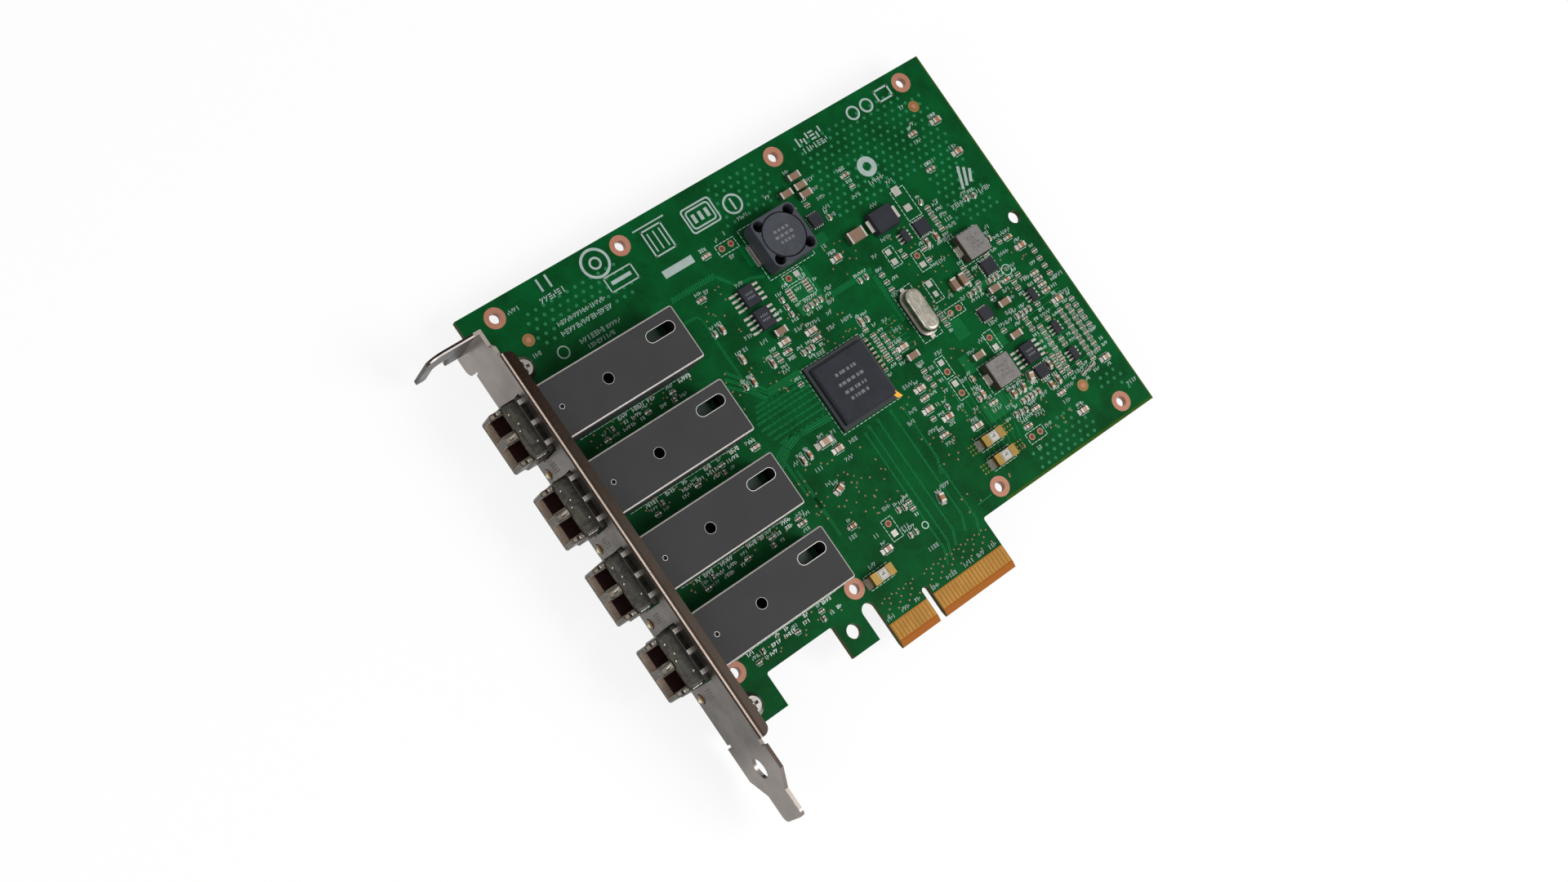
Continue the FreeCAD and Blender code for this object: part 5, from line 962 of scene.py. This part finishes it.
# x and y of the first part of a row, count, step in x and in y, size and tones, and turn
CHIP_ROWS = (
    (56.4, 79.0, 5, 0.0, -1.45, "0402 tan brown"), (58.8, 57.0, 3, 1.3, 0.0, "0402 tan orange", 90),
    (43.0, 56.8, 3, 0.0, -1.5, "0402 brown tan"), (31.0, 47.8, 3, 0.0, -1.9, "0402 tan brown"),
    (63.0, 33.4, 4, 0.0, -1.5, "0402 tan brown"), (66.0, 27.0, 3, 1.7, 0.3, "0402 tan brown", 20),
    (74.9, 43.0, 5, 0.0, -1.8, "0402 tan brown"), (61.2, 45.2, 3, 0.0, -1.5, "0402 brown tan"),
    (74.0, 57.2, 4, 0.0, -2.1, "0402 tan orange"), (66.8, 76.2, 2, 2.0, -0.4, "0402 tan brown", 90),
    (36.2, 71.4, 3, 0.0, -2.0, "0402 tan brown"), (30.6, 73.0, 2, 1.9, 0.0, "0402 tan brown", 90),
    (8.2, 66.0, 3, 1.35, 0.0, "0402 tan brown", 90), (22.9, 60.8, 8, 0.0, -1.12, "0402 tan brown tan"),
    (25.4, 60.8, 6, 0.0, -1.3, "0402 tan brown"), (27.6, 59.6, 5, 0.0, -1.5, "0402 brown tan"),
    (66.3, 46.4, 2, 0.0, -4.2, "0402 brown tan"), (66.2, 36.6, 2, 0.0, -1.5, "0402 tan brown"),
    (66.4, 29.6, 2, 0.0, 25.0, "0402 brown brown"), (70.4, 52.8, 3, 0.0, -1.6, "0603 tan brown tan"),
    (70.4, 42.2, 10, 0.0, -1.5, "0402 tan brown brown"), (72.9, 42.0, 9, 0.0, -1.5, "0402 brown tan"),
    (63.3, 41.6, 7, 0.0, -1.5, "0402 tan tan brown"), (59.6, 46.6, 4, 1.35, 0.0, "0402 tan brown", 90),
    (61.4, 34.4, 4, 0.0, -1.4, "0402 tan brown"),
    (48.0, 29.6, 5, 1.25, 0.0, "0402 tan orange brown", 90),
    (44.4, 28.0, 3, 1.5, -0.2, "0402 brown tan", 80), (13.9, 79.6, 4, 0.0, -0.75, "0402 tan"),
    (18.7, 79.6, 4, 0.0, -0.75, "0402 tan"), (11.3, 78.6, 3, 0.0, -1.9, "0402 tan brown", 90),
    (15.2, 74.2, 4, 1.4, 0.0, "0402 brown tan", 90), (52.4, 56.8, 3, 1.5, 0.0, "0402 tan brown", 90),
    (55.2, 62.8, 3, 0.0, -1.4, "0402 brown tan"), (64.4, 53.6, 2, 0.0, -1.6, "0402 tan brown"),
)
# x, y from the transceiver's middle, tone and turn of the parts below each transceiver
MODULE_CHIPS = ((-40.2, -8.6, "brown", 90), (-23.6, -8.8, "tan"), (-24.2, -10.4, "brown", 90),
                (-31.0, -9.6, "tan"), (-42.4, -10.2, "tan"))
# x, y, length and width of bare pads
BARE_PADS = (
    (52.0, 86.2, 2.0, 2.3), (52.1, 81.5, 1.9, 1.7), (41.0, 75.1, 1.4, 1.4), (41.0, 72.5, 1.5, 1.5),
    (46.8, 68.5, 1.5, 1.4), (45.1, 63.9, 1.5, 1.5), (45.1, 61.2, 1.2, 1.4), (35.9, 47.3, 1.4, 1.4),
    (35.9, 41.6, 1.4, 1.5), (18.2, 82.0, 1.4, 1.4), (50.3, 43.4, 1.4, 1.5), (1.6, 21.6, 1.5, 1.5),
)
# x and y of drilled lands
DRILLED_LANDS = (
    (6.1, 95.4), (8.7, 95.4), (15.8, 81.9), (46.8, 70.9), (45.4, 55.6), (48.0, 55.6), (50.3, 46.0),
    (35.9, 44.8), (35.9, 39.0), (44.6, 21.7), (47.2, 21.7), (1.6, 24.1),
)


class SmallParts:
    """Chip capacitors and resistors: body, plated ends, solder and pads."""

    def __init__(self):
        self.spots = []
        self.bodies = {tone: Piece(f"chip_bodies_{tone}", tone, "capacitor_ceramic")
                       for tone in TONES}
        self.ends = Piece("chip_ends", "tin", "plated_tin")
        self.solder = Piece("chip_solder", "solder", "plated_tin")

    def add(self, x, y, size, tone, turn=0.0):
        """One part; black ones are resistors, which are lower."""
        length, width, height = SIZES[size]
        self.spots.append((x, y, length, width, turn))
        if tone == "black":
            height *= 0.6
        end = length * 0.27

        def out(distance):
            return turned([(distance, 0.0)], turn, x, y)[0]

        self.bodies[tone].block(x, y, TOP + 0.04, length - 2 * end * 0.7, width * 0.96,
                                height - 0.02, min(0.06, width * 0.1), turn)
        for side in SIDES:
            self.ends.block(*out(side * (length - end) / 2), TOP + 0.03, end, width,
                            height + 0.02, min(0.07, width * 0.12), turn)
            foot = turned(rectangle(end * 1.7, width * 1.15), turn,
                          *out(side * (length / 2 + end * 0.35)))
            crest = turned(rectangle(end * 0.5, width * 0.8), turn,
                           *out(side * (length / 2 - end * 0.2)))
            self.solder.fillet(foot, crest, 0.05, height * 0.5)


def make_part_legend(spots):
    """Thin lines beside each chip part, and a short label where there is room."""
    lines = Print("chip_outlines", "thin_print", "board_laminate")
    labels = Print("chip_labels", "thin_print", "board_laminate")
    gaps = Print("gap_labels", "lit_gap_print", "board_laminate")
    taken = [(x, y) for x, y, *_ in spots]
    for x, y, length, width, turn in spots:
        reach = length / 2 + 0.1
        across = width + 0.62
        for side in SIDES:
            lines.stroke(0.1, *turned([(-reach, side * across / 2), (reach, side * across / 2)],
                                      turn, x, y))
        for shift_x, shift_y in ((0.0, 1.35), (0.0, -1.35), (2.1, 0.0), (-2.1, 0.0)):
            spot = (x + shift_x * (1 + length * 0.15), y + shift_y * (1 + width * 0.2))
            near = min(math.dist(spot, other) for other in taken if other != (x, y))
            if near > 1.45 and on_open_board(*spot):
                labels.ticks(*spot, chance.choice((2, 3, 3)), 0.72)
                taken.append(spot)
                break
    # rows of figures between the transceivers, in a brighter print as painted light against the shade
    # in the gaps
    for centre in CENTRES:
        for row in (-7.5, -8.8, -10.1):
            x = -44.0
            while x < -18.5:
                count = chance.choice((2, 3, 4, 5))
                middle = x + count * 0.35
                gap = min(math.hypot(middle - ox, (centre + row - oy) * 1.4) for ox, oy in taken)
                if gap > 1.5 and chance.random() < 0.72:
                    gaps.ticks(middle, centre + row, count, 0.78)
                x += count * 0.7 + chance.choice((0.7, 1.1, 1.9))
    finish(lines, labels, gaps)


def on_open_board(x, y):
    """Whether a label at this place clears the larger parts, the transceivers and the edges."""
    if any(low.x - 1.0 < x < high.x + 1.0 and low.y - 0.6 < y < high.y + 0.6
           for low, high in LARGE_BOXES):
        return False
    if near_ring(x, y, 3.6):
        return False
    return BOARD_LOW.x + 2 < x < BOARD_HIGH.x - 2 and 14.5 < y < BOARD_HIGH.y - 2


def make_small_parts():
    """The chip resistors and capacitors scattered over the component side."""
    parts = SmallParts()
    for x, y, kind, *turn in CHIPS:
        parts.add(x, y, *kind.split(), *turn)
    for x, y, count, step_x, step_y, kind, *turn in CHIP_ROWS:
        size, *tones = kind.split()
        for index in range(count):
            parts.add(x + step_x * index, y + step_y * index, size, tones[index % len(tones)],
                      *turn)
    for centre in CENTRES:
        for x, y, *look in MODULE_CHIPS:
            parts.add(x, centre + y, "0402", *look)
    finish(*parts.bodies.values(), parts.ends, parts.solder)
    make_part_legend(parts.spots)


def make_pads():
    """Bare tinned pads, drilled lands and the solder under the larger parts' leads."""
    pads = Piece("bare_pads", "solder", "plated_tin")
    lands = Piece("drilled_lands", "ring", "ring_copper")
    bores = Piece("land_bores", "bore", "ring_copper")
    bore = 0.5
    for x, y, length, width in BARE_PADS:
        pads.block(x, y, TOP, length, width, 0.1, 0.05)
    for x, y in DRILLED_LANDS:
        lands.hoop(x, y, 0.78, bore, TOP, TOP + 0.05, 20)
        # each bore is a dark disc: the hole's copper plating, darkened by painted shade
        bores.disc(x, y, TOP, bore, 0.015, 20)
    lead_pitch = 1.27
    for name in SOICS:
        low, high = extent(name)
        x, y, _ = (low + high) / 2
        for side in SIDES:
            for index in range(4):
                pads.block(x + side * 3.35, y + (index - 1.5) * lead_pitch, TOP, 1.5, 0.62, 0.07,
                           0.03)
    low, high = extent("inductor_terminals")
    for x in (low.x, high.x):
        pads.block(x, mid(low, high)[1], TOP, 1.8, 5.4, 0.05, 0.02)
    finish(pads, lands, bores)


def make_fuse_details():
    """A marked plate and solder on each fuse, and bare copper dots beside two of them."""
    plates = Piece("fuse_plates", "plate", "fuse_ceramic")
    marks = Piece("fuse_marks", "stamp", "fuse_ceramic")
    fillets = Piece("fuse_solder", "solder", "plated_tin")
    dots = Piece("fuse_lands", "cap_gold", "cap_gold")
    for low, high in solids("fuses"):
        x, y = mid(low, high)
        plates.slab(moved(rounded(1.9, 1.8, 0.4), x, y), high.z, high.z + 0.12)
        marks.block(x, y, high.z + 0.11, 0.9, 0.24, 0.03)
        marks.block(x + 0.2, y + 0.4, high.z + 0.11, 0.5, 0.2, 0.03)
        for side in SIDES:
            fillets.fillet(moved(rectangle(1.0, 2.5), x + side * 3.45, y),
                           moved(rectangle(0.24, 2.3), x + side * 3.2, y), 0.08, 1.3)
        # only the two fuses of the power corner have dots beside them
        for side, columns in ((-1, 3), (1, 4)) if low.x > 0 else ():
            for column in range(columns):
                for row in range(3):
                    dots.block(x + side * (4.1 + column * 0.85), y + (row - 1) * 0.95, TOP, 0.32,
                               0.36, 0.03)
    finish(plates, marks, fillets, dots)


def make_small_chip_leads():
    """Bent leads of the narrow chips and the edge pads of the square ones."""
    leads = Piece("small_chip_leads", "tin", "plated_tin")
    pads = Piece("square_chip_pads", "solder", "plated_tin")
    for low, high in solids("small_chips"):
        x, y, _ = (low + high) / 2
        length = high.x - low.x
        width = high.y - low.y
        if width > length * 1.3:
            for side in SIDES:
                face = x + side * length / 2
                foot = face + side * 0.75
                for step in range(3):
                    row = y + (step - 1) * 0.95
                    leads.loft([[(px, row + half, pz) for px, pz in lead_profile(face, foot)]
                                for half in (-0.16, 0.16)])
                    pads.block(foot - side * 0.1, row, TOP, 0.75, 0.5, 0.05, 0.02)
        else:
            for step in range(5):
                shift = (step - 2) * 0.6
                for side in SIDES:
                    pads.block(x + side * (length / 2 + 0.12), y + shift, TOP, 0.55, 0.32, 0.12,
                               0.04)
                    pads.block(x + shift, y + side * (width / 2 + 0.12), TOP, 0.32, 0.55, 0.12,
                               0.04)
    finish(leads, pads)


def lead_profile(face, foot):
    """The side view of a bent lead, from a chip's face out and down to its foot."""
    knee = face + (foot - face) * 0.45
    return [(face, TOP + 0.62), (knee, TOP + 0.62), (knee + (foot - face) * 0.12, TOP + 0.2),
            (foot, TOP + 0.2), (foot, TOP + 0.06), (knee, TOP + 0.06),
            (knee - (foot - face) * 0.14, TOP + 0.48), (face, TOP + 0.48)]


def make_crystal_rim():
    """The can's welded rim."""
    rim = Piece("crystal_rim", "tin", "can_metal")
    low, high = extent("crystal_can")
    length = high.x - low.x
    width = high.y - low.y
    x, y, _ = (low + high) / 2
    rim.band(*[moved(rounded(length + wider, width + wider, min(length, width) / 2 + rounder, 12),
                     x, y)
               for wider, rounder in ((0.7, 0.3), (-0.3, -0.2))], low.z + 0.02, low.z + 0.34)
    rim.finish()


def make_coil_terminals():
    """The folded copper terminal at each end of the powder inductors."""
    plates = Piece("coil_terminals", "pin", "plated_tin")
    for name in COILS:
        low, high = extent(name)
        y = (low + high).y / 2
        for x, side in ((low.x, -1), (high.x, 1)):
            plates.block(x + side * 0.35, y, TOP, 0.9, 2.6, 0.12, 0.04)
            plates.block(x + side * 0.06, y, TOP, 0.12, 2.4, (high.z - TOP) * 0.45, 0.03)
    plates.finish()


def make_chip_details():
    """Solder balls under the controller, its corner mark, and faint print on the chips."""
    balls = Piece("package_balls", "solder", "plated_tin", smooth=True)
    low, high = extent("controller_package")
    count = 15
    inset = 0.8
    step = (high.x - low.x - 2 * inset) / (count - 1)
    outer = (0, count - 1)
    for column in range(count):
        for row in range(count):
            if column in outer or row in outer:
                balls.turning(low.x + inset + column * step, low.y + inset + row * step, 8,
                              ((0.18, TOP), (0.3, (TOP + low.z) / 2), (0.18, low.z)))
    mark = Piece("corner_mark", "mark", "mould_compound")
    mark.slab([(high.x - 1.7, low.y + 1.5), (high.x - 0.9, low.y - 0.1), (high.x + 0.5, low.y - 0.3),
               (high.x - 0.3, low.y + 1.6)], high.z, high.z + 0.03)
    faint = Piece("chip_faint_print", "faint", "mould_compound")
    low, high = extent("controller_cap")
    centre = mid(low, high)[0]
    for row, reach in ((0.3, 2.6), (0.42, 3.0), (0.56, 3.4), (0.72, 2.8)):
        x = centre - reach
        while x < centre + reach:
            width = chance.choice((0.45, 0.7, 0.95))
            faint.block(x, low.y + (high.y - low.y) * row, high.z, width, 0.75, 0.012)
            x += width + 0.4
    for name in SOICS:
        low, high = extent(name)
        x, y, _ = (low + high) / 2
        for step in range(4):
            for side in SIDES:
                faint.block(x + (step - 1.5) * 0.55, y + side * 0.5, high.z, 0.3, 0.5, 0.01)
    low, high = extent("inductor_core")
    x, y = mid(low, high)
    for row, width in ((1.4, 4.6), (0.0, 5.4), (-1.4, 4.2)):
        for step in range(4):
            faint.block(x + (step - 1.5) * width / 4, y + row, high.z, width / 4 - 0.4, 0.7, 0.012)
    stamp = Piece("coil_stamp", "stamp", "pressed_powder")
    for name in COILS:
        low, high = extent(name)
        for row, count in ((1.2, 3), (0.0, 2), (-1.2, 3)):
            for step in range(count):
                x, y = mid(low, high)
                x += (step - (count - 1) / 2) * 1.25 + 0.3
                y += row
                stamp.block(x - 0.3, y, high.z, 0.16, 0.9, 0.012)
                stamp.block(x + 0.05, y + chance.choice((-0.36, 0.0, 0.36)), high.z, 0.55, 0.16,
                            0.012)
                stamp.block(x + 0.28, y - 0.2, high.z, 0.16, 0.5, 0.012)
    finish(balls, mark, faint, stamp)


# ---------------------------------------------------------------- transceivers

NOSE_TOP = TOP + 8.55  # top of a receptacle's nose
COLLAR_TOP = TOP + 9.6  # top of its collar
PORT_AXIS = TOP + 5.675
PORT_FLOOR = TOP + 3.25
HALF_SPACING = 3.125  # from a receptacle's middle to each port's
# the raised key between the ports, from the nose, the receptacle's middle and the nose's top
KEY = (((0.1, -0.6, 0.0), (2.95, -0.8, 0.0), (2.95, 0.8, 0.0), (0.1, 0.6, 0.0)),
       ((0.3, -0.35, 0.3), (2.85, -0.6, 0.45), (2.85, 0.6, 0.45), (0.3, 0.35, 0.3)))
INDICATOR_Z = -0.85


def make_shield_rim_highlights():
    """Painted highlights on the drawn rims of the shields' holes and windows."""
    rims = Piece("shield_rim_highlights", "highlight_metal", "shield_steel")
    for (low, high), centre in zip(SHIELDS, CENTRES):
        for x, radius, rim in ((-38.35, 1.25, 0.06), (-50.6, 0.5, 0.09)):
            rims.hoop(x, centre, radius + rim, radius, high.z, high.z + 0.02, 28)
        rims.band(moved(rounded(7.54, 2.84, 1.41, 8), -22.35, centre + 2.7),
                  moved(rounded(7.3, 2.6, 1.29, 8), -22.35, centre + 2.7), high.z, high.z + 0.03)
    rims.finish()


def make_receptacle_details():
    """What shows of the four receptacles from above: ports, painted highlights on edges and corners,
    painted light and shade in the ports, fingers.
    """
    ferrules = Piece("port_ferrules", "ferrule", "optical_steel", smooth=True)
    # painted highlights on the edges and corners
    edges = Piece("receptacle_edge_highlights", "edge", "receptacle_plastic")
    # painted light on the front of each port
    lit_fronts = Piece("port_front_painted_lights", "lit_front", "receptacle_plastic")
    crowns = Piece("collar_crowns", "crown", "receptacle_plastic")
    # painted highlight glints, in the tin colour
    glints = Piece("receptacle_glints", "tin", "gasket_steel")
    fingers = Piece("gasket_fingers", "highlight_metal", "gasket_steel")
    # painted shade: dark sheets in the ports and gaps
    shade_sheets = Piece("port_shade_sheets", "dark", "receptacle_plastic")
    for centre in CENTRES:
        for side in SIDES:
            y = centre + side * HALF_SPACING
            ferrules.loft([upright(circle(radius, 16), x, y, PORT_AXIS)
                           for x, radius in ((-57.9, 0.62), (-59.6, 0.62), (-59.75, 0.5))])
            # painted light on the front part of each port, painted shade behind it
            lit_fronts.block(NOSE + 0.85, y, PORT_FLOOR - 0.05, 1.6, 4.5, 0.1, 0.03)
            shade_sheets.block(NOSE + 4.9, y, PORT_FLOOR - 0.05, 6.4, 4.55, 0.06)
            for wall in SIDES:
                shade_sheets.block(NOSE + 4.5, y + wall * 2.26, PORT_FLOOR, 7.2, 0.05, 4.6)
                lit_fronts.block(NOSE + 0.45, y + wall * 2.24, PORT_FLOOR, 0.8, 0.08, 4.6, 0.02)
            shade_sheets.block(-56.66, y, PORT_FLOOR, 0.08, 4.5, 1.1)
            # notched corner outside each port: painted shade in the gap between painted highlights on
            # its two ends
            corner = centre + side * 5.85
            edges.block(NOSE + 0.7, corner - side * 0.15, NOSE_TOP, 0.9, 0.9, 0.24, 0.08)
            shade_sheets.block(NOSE + 1.45, corner, NOSE_TOP, 0.45, 0.75, 0.05)
            edges.block(NOSE + 2.2, corner, NOSE_TOP, 0.8, 0.8, 0.2, 0.06)
            glints.block(NOSE + 1.85, corner, NOSE_TOP, 0.2, 0.6, 0.26, 0.04)
            glints.block(NOSE + 2.75, corner + side * 0.1, NOSE_TOP, 0.18, 0.4, 0.14, 0.03)
            # painted highlight on the front edge beside the port
            edges.block(NOSE + 0.14, y, PORT_FLOOR - 0.4, 0.2, 4.9, 0.3, 0.06)
        # the raised key between the ports, wider and higher at the back, in the painted-highlight
        # colour, with a painted highlight streak on it and painted shade beside it
        edges.loft([[(NOSE + x, centre + y, NOSE_TOP + z) for x, y, z in ring] for ring in KEY])
        glints.block(NOSE + 1.9, centre + 0.1, NOSE_TOP + 0.36, 1.3, 0.26, 0.1, 0.03, 8)
        shade_sheets.block(NOSE + 1.5, centre - 0.32, NOSE_TOP + 0.36, 0.9, 0.2, 0.05, turn=8)
        # low crowns on the collar, painted highlight glints on it, and a painted highlight curling
        # round its lower end
        for x, y, length, width in ((-60.6, 4.2, 0.9, 2.6), (-60.5, -1.6, 1.1, 3.8)):
            crowns.block(x, centre + y, COLLAR_TOP - 0.06, length, width, 0.16, 0.09, 4)
        for x, y in ((-61.4, 4.3), (-61.3, 0.2), (-60.7, 1.7), (-59.3, -3.4)):
            glints.block(x, centre + y, COLLAR_TOP - 0.02, 0.42, 0.32, 0.15, 0.05, 40)
        for x, length in ((-61.2, 0.7), (-60.4, 0.8), (-59.5, 0.7)):
            glints.block(x, centre - 6.45, COLLAR_TOP - 0.25, length, 0.24, 0.16, 0.04, 6)
        # the gasket's three metal fingers: bright steel, partly painted highlight
        for y in (5.4, 0.3, -4.7):
            fingers.block(-57.35, centre + y, TOP + 9.46, 1.5, 1.1, 0.14, 0.05)
    finish(ferrules, edges, lit_fronts, crowns, glints, fingers, shade_sheets)


def make_indicator_faces():
    """A clear lens over the amber body in each small hole of the bracket, with a painted highlight
    glint on it.
    """
    lenses = Piece("indicator_lenses", "resin", "indicator_resin", smooth=True)
    glints = Piece("indicator_glints", "glow", "indicator_resin", smooth=True)
    for number in MODULES:
        low, high = extent(f"port_indicator_{number}")
        for piece, radius, shift, reach in ((lenses, 0.5, 0.0, 0.4), (glints, 0.44, -0.2, 0.62)):
            piece.loft([[(low.x - depth, mid(low, high)[1] + shift + 1.3 * py, INDICATOR_Z + pz)
                         for py, pz in circle(size, 16)]
                        for depth, size in ((-0.02, radius), (reach * 0.6, radius * 0.9),
                                            (reach, radius * 0.45))])
    finish(lenses, glints)


def make_bracket_marks():
    """Faint dark bars beside each indicator, in place of wording."""
    marks = Piece("bracket_marks", "stamp", "bracket_steel")
    for number in MODULES:
        middle = mid(*extent(f"port_indicator_{number}"))[1]
        for row in range(3):
            for column in range(4):
                bar = rectangle(2 * chance.choice((0.12, 0.2)), 0.62)
                marks.loft([upright(bar, x, middle + (column - 1.5) * 0.62, 3.2 + row * 1.15)
                            for x in (FACE - 0.03, FACE)])
    marks.finish()


# ---------------------------------------------------------------- the underside

def make_under_side():
    """Solder on the pin tails, tracks, bypass parts, vias and plain bars on the underside."""
    joints = Piece("pin_joints", "solder", "plated_tin", smooth=True)
    for centre in CENTRES:
        pins = [(-34.0 + 1.78 * index, side * 5.08, 0.23) for side in SIDES for index in range(5)]
        pins += [(-46.0, side * 5.1, 0.55) for side in SIDES]
        for x, y, radius in pins:
            joints.turning(x, centre + y, 12,
                           ((radius + 0.42, UNDER), (radius + 0.38, UNDER - 0.05),
                            (radius + 0.12, UNDER - 0.32), (radius + 0.01, UNDER - 0.55)))
    tracks = Piece("under_traces", "trace", "board_laminate")
    runs = []
    for order in range(16):
        x = -10.0 + order * 2.0
        bend = x + 6.0 - order * 0.4
        runs.append([(x, 8.0), (x, 20.0 + order % 4), (bend, 30.0 + order % 3), (bend, 44.0)])
    for order in range(12):
        y = 24.0 + order * 6.2
        runs.append([(-25.0, y), (-14.0 + order % 3, y + 1.5), (4.0, y + 1.5)])
        runs.append([(24.0, y), (40.0 + order % 4, y - 2.0), (70.0, y - 2.0)])
    for run in runs:
        tracks.line(run, 0.16, UNDER - RELIEF, UNDER)
    bodies = Piece("under_chip_bodies", "tan", "capacitor_ceramic")
    ends = Piece("under_chip_ends", "tin", "plated_tin")
    spots = [(8.0 + 2.4 * (index % 6), 48.0 + 2.6 * (index // 6), 0) for index in range(30)]
    spots += [(40.0 + 5.2 * (index % 5), 30.0 + 9.0 * (index // 5), 90) for index in range(20)]
    spots += [(-8.0, 22.0 + 6.5 * index, 90) for index in range(9)]
    for x, y, turn in spots:
        bodies.block(x, y, UNDER - 0.5, 0.7, 0.5, 0.48, turn=turn)
        for shift in (-0.42, 0.42):
            place = (x, y + shift) if turn else (x + shift, y)
            ends.block(*place, UNDER - 0.52, 0.25, 0.52, 0.52, turn=turn)
    vias = Piece("under_vias", "via", "ring_copper")
    for _ in range(420):
        vias.disc(chance.uniform(-12.0, 75.0), chance.uniform(15.0, 108.0), UNDER - RELIEF * 1.4,
                  0.24, RELIEF * 1.4, 8)
    ink = Piece("under_legend", "thin_print", "board_laminate")
    for x, y, turn in spots[::3]:
        for step in range(3):
            ink.block(x + 1.3 + step * 0.6 if turn else x + (step - 1) * 0.6,
                      y if turn else y + 1.2, UNDER - 0.03, 0.36, 0.6, 0.02)
    finish(joints, tracks, bodies, ends, vias, ink)


# ---------------------------------------------------------------- studio

# The camera's place, the directions it looks in and has on its right, and its focal length.
CAMERA_PLACE = Vector((-228.3, 30.3, 453.6)) * MM
CAMERA_FORWARD = Vector((0.4370, 0.0430, -0.8984)).normalized()
CAMERA_RIGHT = Vector((0.7528, -0.5641, 0.3392))
CAMERA_LENS = 52.8
SENSOR = 36.0
CARD_MIDDLE = Vector((10.0, 52.0, 0.0)) * MM
FLOOR_DROP = 0.0005  # the floor's distance below the card, in metres
FLOOR_HALF = 3.0  # half the floor's side, in metres
FLOOR_GLOW = 0.86  # share of the floor that glows white for the camera
WORLD_LIGHT = 0.39  # the world's strength on the card


def link(item):
    """Put an object in the scene."""
    bpy.context.scene.collection.objects.link(item)


def make_camera():
    """The camera above the bracket's side, rolled so that the bracket stands at the left."""
    right = (CAMERA_RIGHT - CAMERA_RIGHT.dot(CAMERA_FORWARD) * CAMERA_FORWARD).normalized()
    up = right.cross(CAMERA_FORWARD).normalized()
    data = bpy.data.cameras.new("camera")
    data.lens = CAMERA_LENS
    data.sensor_width = SENSOR
    data.clip_start = 0.01
    item = bpy.data.objects.new("camera", data)
    turn = Matrix((right, up, -CAMERA_FORWARD)).transposed()
    item.matrix_world = Matrix.Translation(CAMERA_PLACE) @ turn.to_4x4()
    link(item)
    bpy.context.scene.camera = item


def background_share(tree):
    """A socket that is 1 for rays from the camera, off metal or through glass, and else 0."""
    paths = tree.nodes.new("ShaderNodeLightPath").outputs
    most = paths["Is Camera Ray"]
    for name in ("Is Glossy Ray", "Is Transmission Ray"):
        node = tree.nodes.new("ShaderNodeMath")
        node.operation = "MAXIMUM"
        tree.links.new(most, node.inputs[0])
        tree.links.new(paths[name], node.inputs[1])
        most = node.outputs["Value"]
    return most


def make_floor():
    """A white floor that shows the camera a clean white and only a faint shadow."""
    material = bpy.data.materials.new("floor_white")
    material.use_nodes = True
    tree = material.node_tree
    matt = tree.nodes["Principled BSDF"]
    matt.inputs["Base Color"].default_value = (0.92, 0.92, 0.92, 1)
    matt.inputs["Roughness"].default_value = 0.95
    glow = tree.nodes.new("ShaderNodeEmission")
    share = tree.nodes.new("ShaderNodeMath")
    share.operation = "MULTIPLY"
    share.inputs[1].default_value = FLOOR_GLOW
    mix = tree.nodes.new("ShaderNodeMixShader")
    tree.links.new(background_share(tree), share.inputs[0])
    tree.links.new(share.outputs["Value"], mix.inputs["Fac"])
    tree.links.new(matt.outputs["BSDF"], mix.inputs[1])
    tree.links.new(glow.outputs["Emission"], mix.inputs[2])
    tree.links.new(mix.outputs["Shader"], tree.nodes["Material Output"].inputs["Surface"])
    mesh = bpy.data.meshes.new("floor")
    corners = at(rectangle(2 * FLOOR_HALF, 2 * FLOOR_HALF), solid_box[0][2] - FLOOR_DROP)
    mesh.from_pydata(corners, [], [(0, 1, 2, 3)])
    mesh.materials.append(material)
    item = bpy.data.objects.new("floor", mesh)
    link(item)


def make_lamp(name, direction, distance, size, watts):
    """A square soft lamp that faces the card's middle."""
    data = bpy.data.lights.new(name, "AREA")
    data.size = size
    data.energy = watts
    item = bpy.data.objects.new(name, data)
    heading = Vector(direction).normalized()
    item.location = CARD_MIDDLE + heading * distance
    item.rotation_euler = (-heading).to_track_quat("-Z", "Y").to_euler()
    link(item)


def make_studio():
    """Soft light from the lower right of the picture, with an even fill."""
    make_lamp("key_lamp", (0.36, -0.46, 0.8), 0.9, 0.5, 6.4)
    make_lamp("fill_lamp", (-0.85, -0.1, 0.5), 1.0, 0.6, 2.8)
    world = bpy.data.worlds.new("studio")
    world.use_nodes = True
    tree = world.node_tree
    background = tree.nodes["Background"]
    background.inputs["Color"].default_value = (1, 1, 1, 1)
    level = tree.nodes.new("ShaderNodeMapRange")
    level.inputs["To Min"].default_value = WORLD_LIGHT
    level.inputs["To Max"].default_value = 1.0
    tree.links.new(background_share(tree), level.inputs["Value"])
    tree.links.new(level.outputs["Result"], background.inputs["Strength"])
    bpy.context.scene.world = world


# ---------------------------------------------------------------- the card

dress_nodes()
make_traces()
make_thieving()
make_vias()
make_fiducials()
make_print()
make_small_parts()
make_pads()
make_fuse_details()
make_small_chip_leads()
make_crystal_rim()
make_coil_terminals()
make_chip_details()
make_shield_rim_highlights()
make_receptacle_details()
make_indicator_faces()
make_bracket_marks()
make_under_side()
make_camera()
make_floor()
make_studio()
bpy.context.scene.view_settings.view_transform = "Standard"
